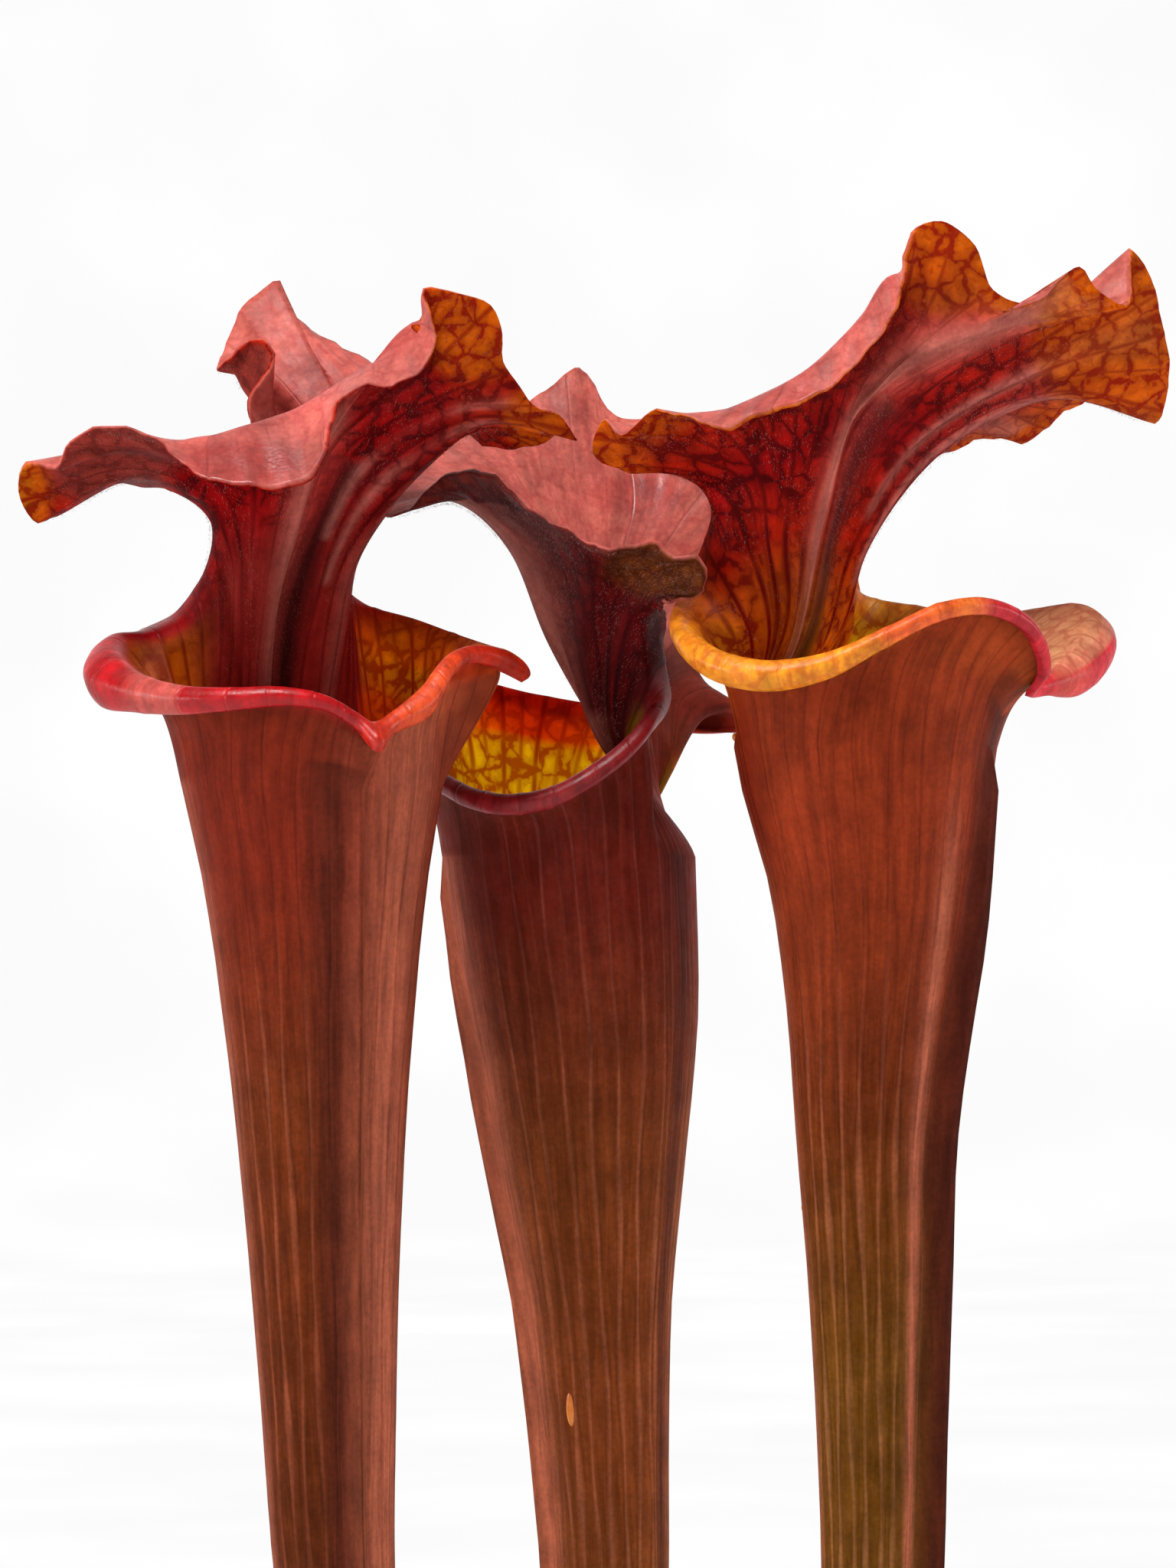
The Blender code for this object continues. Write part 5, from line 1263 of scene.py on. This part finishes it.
MIDDLE_LINES = [
    (0, (-34.5, -1, 3), 1.2),
    (12, (-33.5, -8, 3.3), 1.3),
    (32, (-28, -17, 1.8), 1.5),
    (52, (-22, -23.5, -1.2), 1.6),
    (70, (-15, -27, -2.4), 1.6),
    (88, (-7, -28, -1), 1.6),
    (104, (1, -27, 3.3), 1.6),
    (118, (7, -25, 8), 1.6),
    (130, (11, -22.5, 12.5), 1.5),
    (138, (8, -18, 5), (12, -19, 14.5), (14, -17, 17), (15.5, -13, 16.5), (14.5, -10, 15)),
    (146, (7.5, -18, 8), (10.5, -19.5, 18), (12, -19.5, 22), (14, -16, 23.5), (14, -12, 23)),
    (152, (7, -17.5, 8.5), (8.8, -20.5, 21), (10.8, -23, 27.5), (13, -20.5, 31), (15, -17, 31.5)),
    (154, (6.7, -17, 8.7), (7.8, -20.5, 22.5), (10, -24.5, 30), (13, -28.5, 33.4), (14, -35, 34.3)),
    (155.5, (6.5, -16.9, 8.7), (7.4, -20.4, 23), (9.5, -25, 31), (13.7, -35, 35), (17, -48, 35.4)),
    (157, (6.4, -16.7, 8.8), (7, -20.2, 23.5), (9, -25.5, 32), (14, -37, 36.5), (21.8, -51, 37)),
    (159, (6.1, -16.4, 9), (6.2, -20, 24), (8, -26, 33.5), (13.5, -39, 39), (22.4, -55, 41)),
    (161, (5.8, -16, 9), (5.5, -19.5, 24.5), (7, -26, 34.5), (12.5, -39.5, 41), (21, -56, 43.6)),
    (162.5, (5.5, -15.7, 9), (4.8, -19.2, 25), (6, -26, 35.5), (10.5, -39, 42), (17.5, -55, 42.8)),
    (164, (5.2, -15.4, 9), (4, -18.8, 25.3), (5, -25.7, 36), (8.5, -38, 43), (12.5, -52.5, 46.4)),
    (166, (4.9, -14.9, 9), (3.2, -18.2, 25.6), (3.7, -25.2, 36.8), (5.5, -36.8, 43), (7, -49, 45)),
    (168, (4.6, -14.4, 9), (2.3, -17.5, 26), (2.2, -24.5, 37.6), (2.5, -35.5, 44), (2, -45.5, 45.3)),
    (170, (4.3, -13.7, 9), (1.4, -16.7, 26.4), (0.6, -23.5, 38.5), (-1, -34, 45.3), (-3, -42, 48)),
    (172, (4, -13, 9), (0.4, -15.7, 26.7), (-1.3, -22.2, 39.6), (-4.8, -32, 47), (-8.5, -39, 50.5)),
    (174, (3.7, -12.2, 9), (-0.7, -14.5, 27), (-3.3, -20.8, 40.8),
     (-8.8, -29.5, 49.5), (-13.5, -35.5, 54.5)),
    (176, (3.4, -11.2, 9), (-1.9, -13.1, 27.3), (-5.5, -19.1, 42),
     (-12.7, -26.5, 51.8), (-17.5, -31, 58.3)),
    (178, (3.2, -10.3, 9), (-3, -11.7, 27.6), (-7.8, -17, 43.2), (-16.3, -22.5, 53), (-22, -25.5, 60)),
    (180, (3, -9.4, 9), (-4, -10.2, 27.8), (-10, -14.6, 44.5), (-19.6, -18, 53.6), (-27.5, -20, 58.8)),
    (182, (2.9, -8.4, 9), (-5, -8.7, 27.8), (-12, -12.3, 45), (-22.5, -14.5, 54), (-32, -15.5, 55)),
    (184, (2.9, -7.5, 8.8), (-5.9, -7, 27.6), (-13.6, -9.8, 45.2), (-24.8, -11.5, 54), (-35, -12, 51.8)),
    (186, (3, -6.3, 8.7), (-6.6, -5.2, 27.3), (-14.6, -7.2, 45), (-26, -8.5, 54), (-38.5, -8.5, 51.3)),
    (188, (3.2, -5, 8.6), (-6.8, -3.2, 27), (-14.8, -4.6, 45), (-26.4, -5.5, 54.5), (-41, -4, 52.5)),
    (190, (3.6, -3.5, 8.6), (-6.5, -1.2, 27), (-14.2, -2, 45.3), (-26, -1.5, 55.5), (-41, 2, 56)),
    (192, (4, -2, 8.6), (-5.8, 0.8, 27), (-13, 0.7, 45.8), (-25, 2.5, 57), (-38, 8, 60)),
    (194.5, (4.6, -0.2, 8.7), (-4.7, 2.7, 27), (-11.2, 3.2, 46.3), (-22.5, 6, 58.8), (-33, 14, 64)),
    (197, (5.3, 1.5, 8.8), (-3.3, 4.4, 27), (-9, 5.5, 46.6), (-18.5, 9.8, 60), (-26, 20, 68)),
    (199.5, (6, 3, 8.9), (-1.8, 5.9, 27), (-6.5, 7.5, 46.5), (-13.5, 12.7, 60.5), (-18, 24.5, 70.5)),
    (202, (6.8, 4.3, 9), (-0.2, 7.2, 27), (-3.8, 9.2, 46), (-8.5, 15, 60), (-11, 28, 73.3)),
    (204, (7.5, 5.5, 9.1), (1.4, 8.1, 27), (-1.2, 10.4, 45.3), (-4, 16.5, 59), (-5.5, 30.5, 77)),
    (206, (8.3, 6.5, 9.2), (3, 8.9, 27), (1.2, 11.3, 44.5), (0, 17.5, 57.5), (-1.8, 32, 79.6)),
    (208, (9, 7.4, 9.3), (4.3, 9.5, 27), (3.4, 12, 43.5), (3.8, 18, 56), (1.8, 31.5, 75)),
    (210, (9.8, 8.2, 9.5), (5.5, 10, 27), (5.5, 12.4, 42.4), (7.5, 18, 54), (4.5, 30, 70.5)),
    (212.5, (10.4, 9, 9.8), (6.8, 10.4, 27), (7.6, 12.6, 41), (11.5, 17.5, 52), (13, 29, 69)),
    (215, (11, 9.6, 10), (8, 10.8, 26.8), (9.5, 12.7, 39.6), (14.8, 16.5, 49.5), (21.5, 26.5, 64)),
    (217.5, (11.6, 10.2, 10), (9, 11.2, 26.5), (11, 12.8, 37.8), (17, 15.5, 46), (28, 22, 56)),
    (220, (12.2, 10.7, 10), (10, 11.8, 26), (12.3, 13.5, 36), (18.5, 15.5, 42), (29.5, 19, 47.5)),
    (223, (12.8, 11.3, 9.6), (11, 12.6, 25), (13.5, 14.5, 33), (18, 17, 37), (24, 19, 39)),
    (227, (13.5, 12, 9), (12.3, 13.8, 22.5), (14.8, 16, 28), (17.5, 19, 30), (19, 21.5, 29)),
    (232, (15, 13, 7), (15.5, 15.5, 17.5), (19, 18.5, 20), (22, 21.5, 19.5), (22.5, 23, 17.5)),
    (238, (15.5, 14.5, 2), (22, 17.5, 13), (28, 19, 14.5), (30.5, 20.5, 12.8), (29, 21.5, 10.5)),
    (252, (14, 25, 14.5), 2.2),
    (268, (3, 28.5, 14.6), 1.8),
    (288, (-10, 28, 16.7), 1.6),
    (308, (-22, 23, 19), 1.5),
    (328, (-31, 14, 16), 1.5),
    (348, (-34.5, 5, 8), 1.3),
]

MIDDLE_STRIPES = [
    # painted sheen on the tube's left edge, then painted shadow in the fold beside the flange
    (0, 8, 18, (-0.95, 0.1), "dusk_pink", 0.75),
    (0, 148, 7, (-0.6, 0.1), "wing_dark", 0.7),
    (0, 285, 52, (-0.3, 1.5), "lit_wall", 0.95),
    (0, 288, 42, (1, 5.1), "fire", 0.95),
    (1, 288, 42, (1.2, 5.1), "fire", 0.95),
    (1, 182, 14, (0.2, 1.3), "lilac", 0.75),
    (1, 184, 6, (0.2, 4.2), "lilac", 0.9),
]

MIDDLE_DABS = [
    (1, (-10, 17.5), (26, 4.2), (232, 350), "fire", 0.95),
    # painted shadow behind the middle leaf's flange on its right
    (0, (20, 17), (8, 14), (90, 270), "wing_dark", 0.85),
    (1, (14, 42), (10, 6), (150, 168), "olive_lobe", 0.9),
    (1, (20, 38), (4, 6), (150, 168), "olive_lobe", 0.9),
    (0, (10, 55), (10, 4), (150, 215), "blood", 0.4),
]

MIDDLE_LEAF = {
    "name": "pitcher_middle",
    "front": -88,
    "turn": 1,
    "depth": 42,
    "throat": -14,
    "wing": 3,
    "hood": (134, 150, 226, 240),
    "midrib": [(0, 180), (5, 180)],
    "outer": [
        (-338, "green"), (-240, "olive"), (-130, "tawny"), (-70, "tawny"), (-20, "plum"), (10, "plum"),
    ],
    "inner": [(-200, "deep"), (-50, "deep"), (-24, "amber"), (-8, "gold"), (15, "gold")],
    "lip": [(1.5, "lip_maroon"), (5, "lip_maroon")],
    "under": [(0, "ember"), (0.8, "wine"), (3.2, "wine"), (4.2, "wine"), (5, "bark")],
    "top": [(0, "plum"), (1, "plum"), (2, "wine"), (3, "rose"), (5, "rose")],
    "tube": [
        (-338, 3, -25, 5.4), (-326, 3.2, -24.5, 4.7), (-308, 3.6, -21, 5.2), (-270, 4.4, -13, 6.4),
        (-230, 5, -6, 7.9), (-190, 5, -2, 9.3), (-150, 4.7, 0, 10.3), (-126, 3.6, 0, 11.4),
        (-100, 2.3, 0, 13.2), (-73, 0.8, 0, 17.2), (-50, -0.2, 0, 20.4), (-40, -1.2, 0, 21.9),
        (-11, -3.8, 0, 23.8), (-4, -4.4, 0, 24.2),
    ],
    "lines": MIDDLE_LINES,
    "stripes": MIDDLE_STRIPES,
    "dabs": MIDDLE_DABS,
}

RIGHT_LINES = [
    (0, (84.5, -8, 19.5), 1.2),
    (8, (87, -12, 23.5), 1.3),
    (22, (84.5, -17, 31), 1.2),
    (40, (77, -22, 35), 1.2),
    (60, (68, -26, 34.4), 1.3),
    (78, (57, -28.5, 29.5), 1.5),
    (96, (46, -29, 24.8), 2.2),
    (114, (35, -27, 23.2), 2.6),
    (128, (26, -22, 24.8), 2.6),
    (138, (20.5, -15, 28), 2.4),
    (145, (26, -8, 21), (20, -6, 30.5), (16.8, 1, 32.8), (16.3, 6, 32), (17.5, 8, 29.8)),
    (150, (30, -6, 25), (24.5, -2, 36), (21, 5, 39.5), (20.5, 10, 40), (23, 12, 39)),
    (154, (32.5, -6, 28), (27.5, -5, 42), (24.5, 0, 49), (24, 5, 52), (27, 9, 52)),
    (157, (34, -5.5, 29.5), (29.5, -5, 44), (25, -4, 54), (20, -1, 58), (16, 5, 60)),
    (159.5, (34.6, -5.3, 30.4), (31.2, -5, 44.8), (27, -5.7, 56.6), (16, -6, 60.3), (7, -3, 60.4)),
    (161, (34.9, -5.1, 30.7), (32.2, -5, 45.5), (28.8, -6.5, 58), (18, -8.5, 62.5), (1, -6, 63.4)),
    (162.2, (35.3, -5, 31), (33.1, -5.1, 46.1), (30.2, -7.2, 59.1), (20, -11, 65), (3.2, -12, 69.4)),
    (163.2, (35.5, -4.9, 31), (33.7, -5.2, 46.3), (31.1, -7.6, 59.6), (22, -12.5, 66.5), (6.4, -14, 66.6)),
    (164.4, (35.8, -4.8, 31), (34.4, -5.2, 46.5), (32.3, -8, 60.1), (24.5, -14, 68.3), (12, -17, 70.9)),
    (166, (36.2, -4.5, 31), (35.5, -5.5, 47), (34, -8.5, 61), (28, -16, 71), (20, -22, 70)),
    (168, (36.7, -4.1, 31), (36.7, -5.8, 47.5), (36, -9, 62), (31, -17, 73), (26, -25, 67.8)),
    (170, (37.2, -3.5, 31), (37.8, -6, 48), (38.5, -9.3, 63), (37, -17, 75.8), (32.5, -25, 71)),
    (172, (37.7, -2.8, 30.5), (39, -6, 48.5), (41, -9.5, 64.5), (42, -15.5, 79), (40, -23, 72.8)),
    (174, (38.2, -2, 30), (40.3, -5.8, 49), (43.5, -9.5, 66), (47, -14, 83.5), (47, -22, 76.5)),
    (176, (38.7, -1, 29.5), (41.5, -5.5, 49), (46, -9.3, 67.5), (53, -12, 90), (55, -19, 84.5)),
    (178, (39, 0, 29), (42.5, -5.3, 49), (48, -9, 69), (58, -10, 97), (59.8, -15, 94)),
    (180, (39.2, 0.8, 28.5), (43.2, -5, 49), (49.5, -8.8, 70), (61.5, -9, 95), (62, -10, 105.5)),
    (181, (39.4, 1.4, 28.3), (43.8, -4.8, 49), (50.5, -8.6, 71), (64.5, -9, 93), (67.5, -8, 107.7)),
    (182, (39.6, 2, 28), (44.2, -4.5, 49), (51.5, -8.4, 71.5), (67.5, -9, 91), (74, -8, 103)),
    (183, (39.8, 2.6, 27.7), (44.6, -4.2, 49), (52.3, -8.2, 72), (70, -9, 89), (77.5, -8, 94.5)),
    (184, (40, 3.4, 27.5), (45, -3.8, 49), (53, -8, 72.3), (73, -9, 87.5), (85, -6, 92)),
    (185.5, (40.3, 4.5, 27.3), (45.4, -3, 49), (53.8, -7.5, 72.3), (76, -8, 86.8), (94, -3, 99)),
    (187, (41, 6, 27), (46.4, 0, 48.5), (55.5, -3.5, 71), (78, -4.5, 85.5), (97, -4, 95)),
    (189, (42, 8, 27), (47.6, 2.5, 48), (57.5, 0, 69), (81.5, -1.5, 85.5), (103, -6, 91.5)),
    (191, (43, 9.5, 27), (48.6, 4, 47.5), (59.3, 1.5, 67.5), (85, 1, 86), (104, 3, 102)),
    (193, (44, 11, 27.3), (49.6, 5, 47), (61, 2.5, 66), (87, 3, 83.5), (107.5, 7, 97)),
    (195, (45, 12.5, 27.7), (50.6, 6, 46.5), (62.5, 4, 65), (88.5, 6, 80.5), (109.8, 11, 88)),
    (197, (46, 13.5, 28.2), (51.5, 7, 46), (64, 5.5, 64), (89, 9.5, 77.5), (111.2, 16, 79)),
    (199, (47, 15, 29), (52.2, 8.5, 45.5), (65, 7.5, 63), (88, 14, 75), (108.5, 23, 69.3)),
    (201, (47.8, 16, 30), (52.8, 10, 45), (65.5, 10, 62), (85, 18.5, 73.5), (99, 29, 74.5)),
    (203, (48.5, 17, 31), (53, 11.5, 44.5), (65, 12.5, 61), (80, 22, 72.5), (91.2, 35, 71)),
    (206, (49, 18, 32), (52.7, 13, 44), (63, 15, 60), (73.5, 23, 69.5), (84, 38, 65.6)),
    (209, (49.3, 19, 32.5), (52, 15, 43.5), (60, 17, 57), (66, 22, 64.8), (75, 33, 66)),
    (213, (49.5, 20, 32.5), (51.5, 17, 42), (54.2, 19.5, 50), (56.5, 22.5, 55), (57.5, 28, 56.5)),
    (218, (50, 22.5, 29), (49.8, 20.5, 37.5), (50.2, 23, 42), (51, 26, 43), (50.5, 29, 41)),
    (226, (55, 30, 35), 2),
    (244, (64, 32, 33.5), 2),
    (264, (75, 31, 31.5), 2.2),
    (284, (85, 28, 33), 3),
    (304, (94, 20, 34), 4.5),
    (322, (96, 11, 31), 5),
    (338, (92, 3, 25), 4),
    (352, (87.5, -4, 20.5), 1.6),
]

RIGHT_STRIPES = [
    # painted sheen on the tube's front, painted shadow beside its wing, and painted sheen on its left edge
    (0, 26, 7, (-0.95, 0), "dusk_pink", 0.8),
    (0, 0, 14, (-0.95, 0.9), "wing_dark", 0.95),
    (0, 158, 14, (-0.95, 0.1), "dusk_pink", 0.6),
    (0, 255, 45, (-0.2, 1.5), "lit_wall", 0.9),
    (0, 145, 15, (-0.1, 1.5), "lit_wall", 0.7),
    (1, 187.5, 3, (0, 3.2), "shade", 0.9),
    (1, None, 3.4, (0.2, 4.9), "lilac", 0.9),
    (0, 26, 40, (1, 5.1), "rust", 1.8),
    (1, 316, 44, (0.9, 5.1), "flap", 1.4),
    (1, 16, 30, (1.9, 5.1), "coral", 1.8),
    (1, 312, 34, (2.3, 5.1), "coral", 0.6),
    (1, 312, 34, (2.7, 5.1), "coral", 1.6),
    (1, 195, 1.2, (2.2, 5), "ridge", 0.85),
    (1, 200, 1.3, (1.5, 5), "ridge", 0.85),
    (1, 206, 1.8, (1, 4.8), "ridge", 0.75),
]

RIGHT_DABS = [
    (1, (68, 99), (9, 9), (178, 186), "flame", 0.5),
    (0, (36, 73), (12, 4), (150, 200), "blood", 0.35),
    (1, (100, 84), (14, 14), (183, 205), "flame", 0.7),
    (0, (91, 28), (14, 12), (280, 350), "flap", 0.95),
    (1, (58, 33), (14, 6), (20, 100), "lip_orange", 0.85),
    # painted shadow beside the wing, under the lip's right end
    (0, (80, 14), (4, 8), (0, 40), "wing_dark", 0.6),
]

RIGHT_LEAF = {
    "name": "pitcher_right",
    "front": 72,
    "turn": -1,
    "depth": 0,
    "throat": 7,
    "wing": 5,
    "hood": (140, 154, 213, 226),
    "midrib": [(0, 180), (2.9, 180.5), (3.2, 183), (3.6, 183.8), (4, 185.5), (4.4, 187), (5, 188.5)],
    "outer": [
        (-338, "green"), (-240, "olive"), (-110, "olive"), (-60, "umber"), (-10, "rust"), (10, "rust"),
    ],
    "inner": [(-200, "deep"), (-40, "deep"), (-8, "ember"), (15, "amber"), (28, "gold")],
    "lip": [(1.5, "lip_gold"), (5, "lip_gold")],
    "under": [(0, "amber"), (1, "amber"), (2, "ember"), (3, "crimson"), (4.2, "ember"), (5, "flame")],
    "top": [(0, "rust"), (1, "crimson"), (2, "ember"), (3, "salmon"), (5, "rose")],
    "tube": [
        (-338, 15, 3, 5.4), (-326, 16.8, 3, 4.7), (-308, 21, 3, 5), (-270, 33.5, 2, 6.1),
        (-230, 46, 1, 7.6), (-190, 52.8, 0, 8.7), (-150, 54.2, 0, 9.1), (-119, 54.1, 0, 10.1),
        (-94, 53.8, 0, 11.3), (-70, 53.2, 0, 12.7), (-45, 54, 0, 15.3), (-21, 54.5, 0, 19),
        (3.5, 53.1, 0, 24.1), (12, 53.2, 0, 25.4),
    ],
    "lines": RIGHT_LINES,
    "stripes": RIGHT_STRIPES,
    "dabs": RIGHT_DABS,
}

LEAVES = {leaf["name"]: leaf for leaf in (LEFT_LEAF, MIDDLE_LEAF, RIGHT_LEAF)}


main()
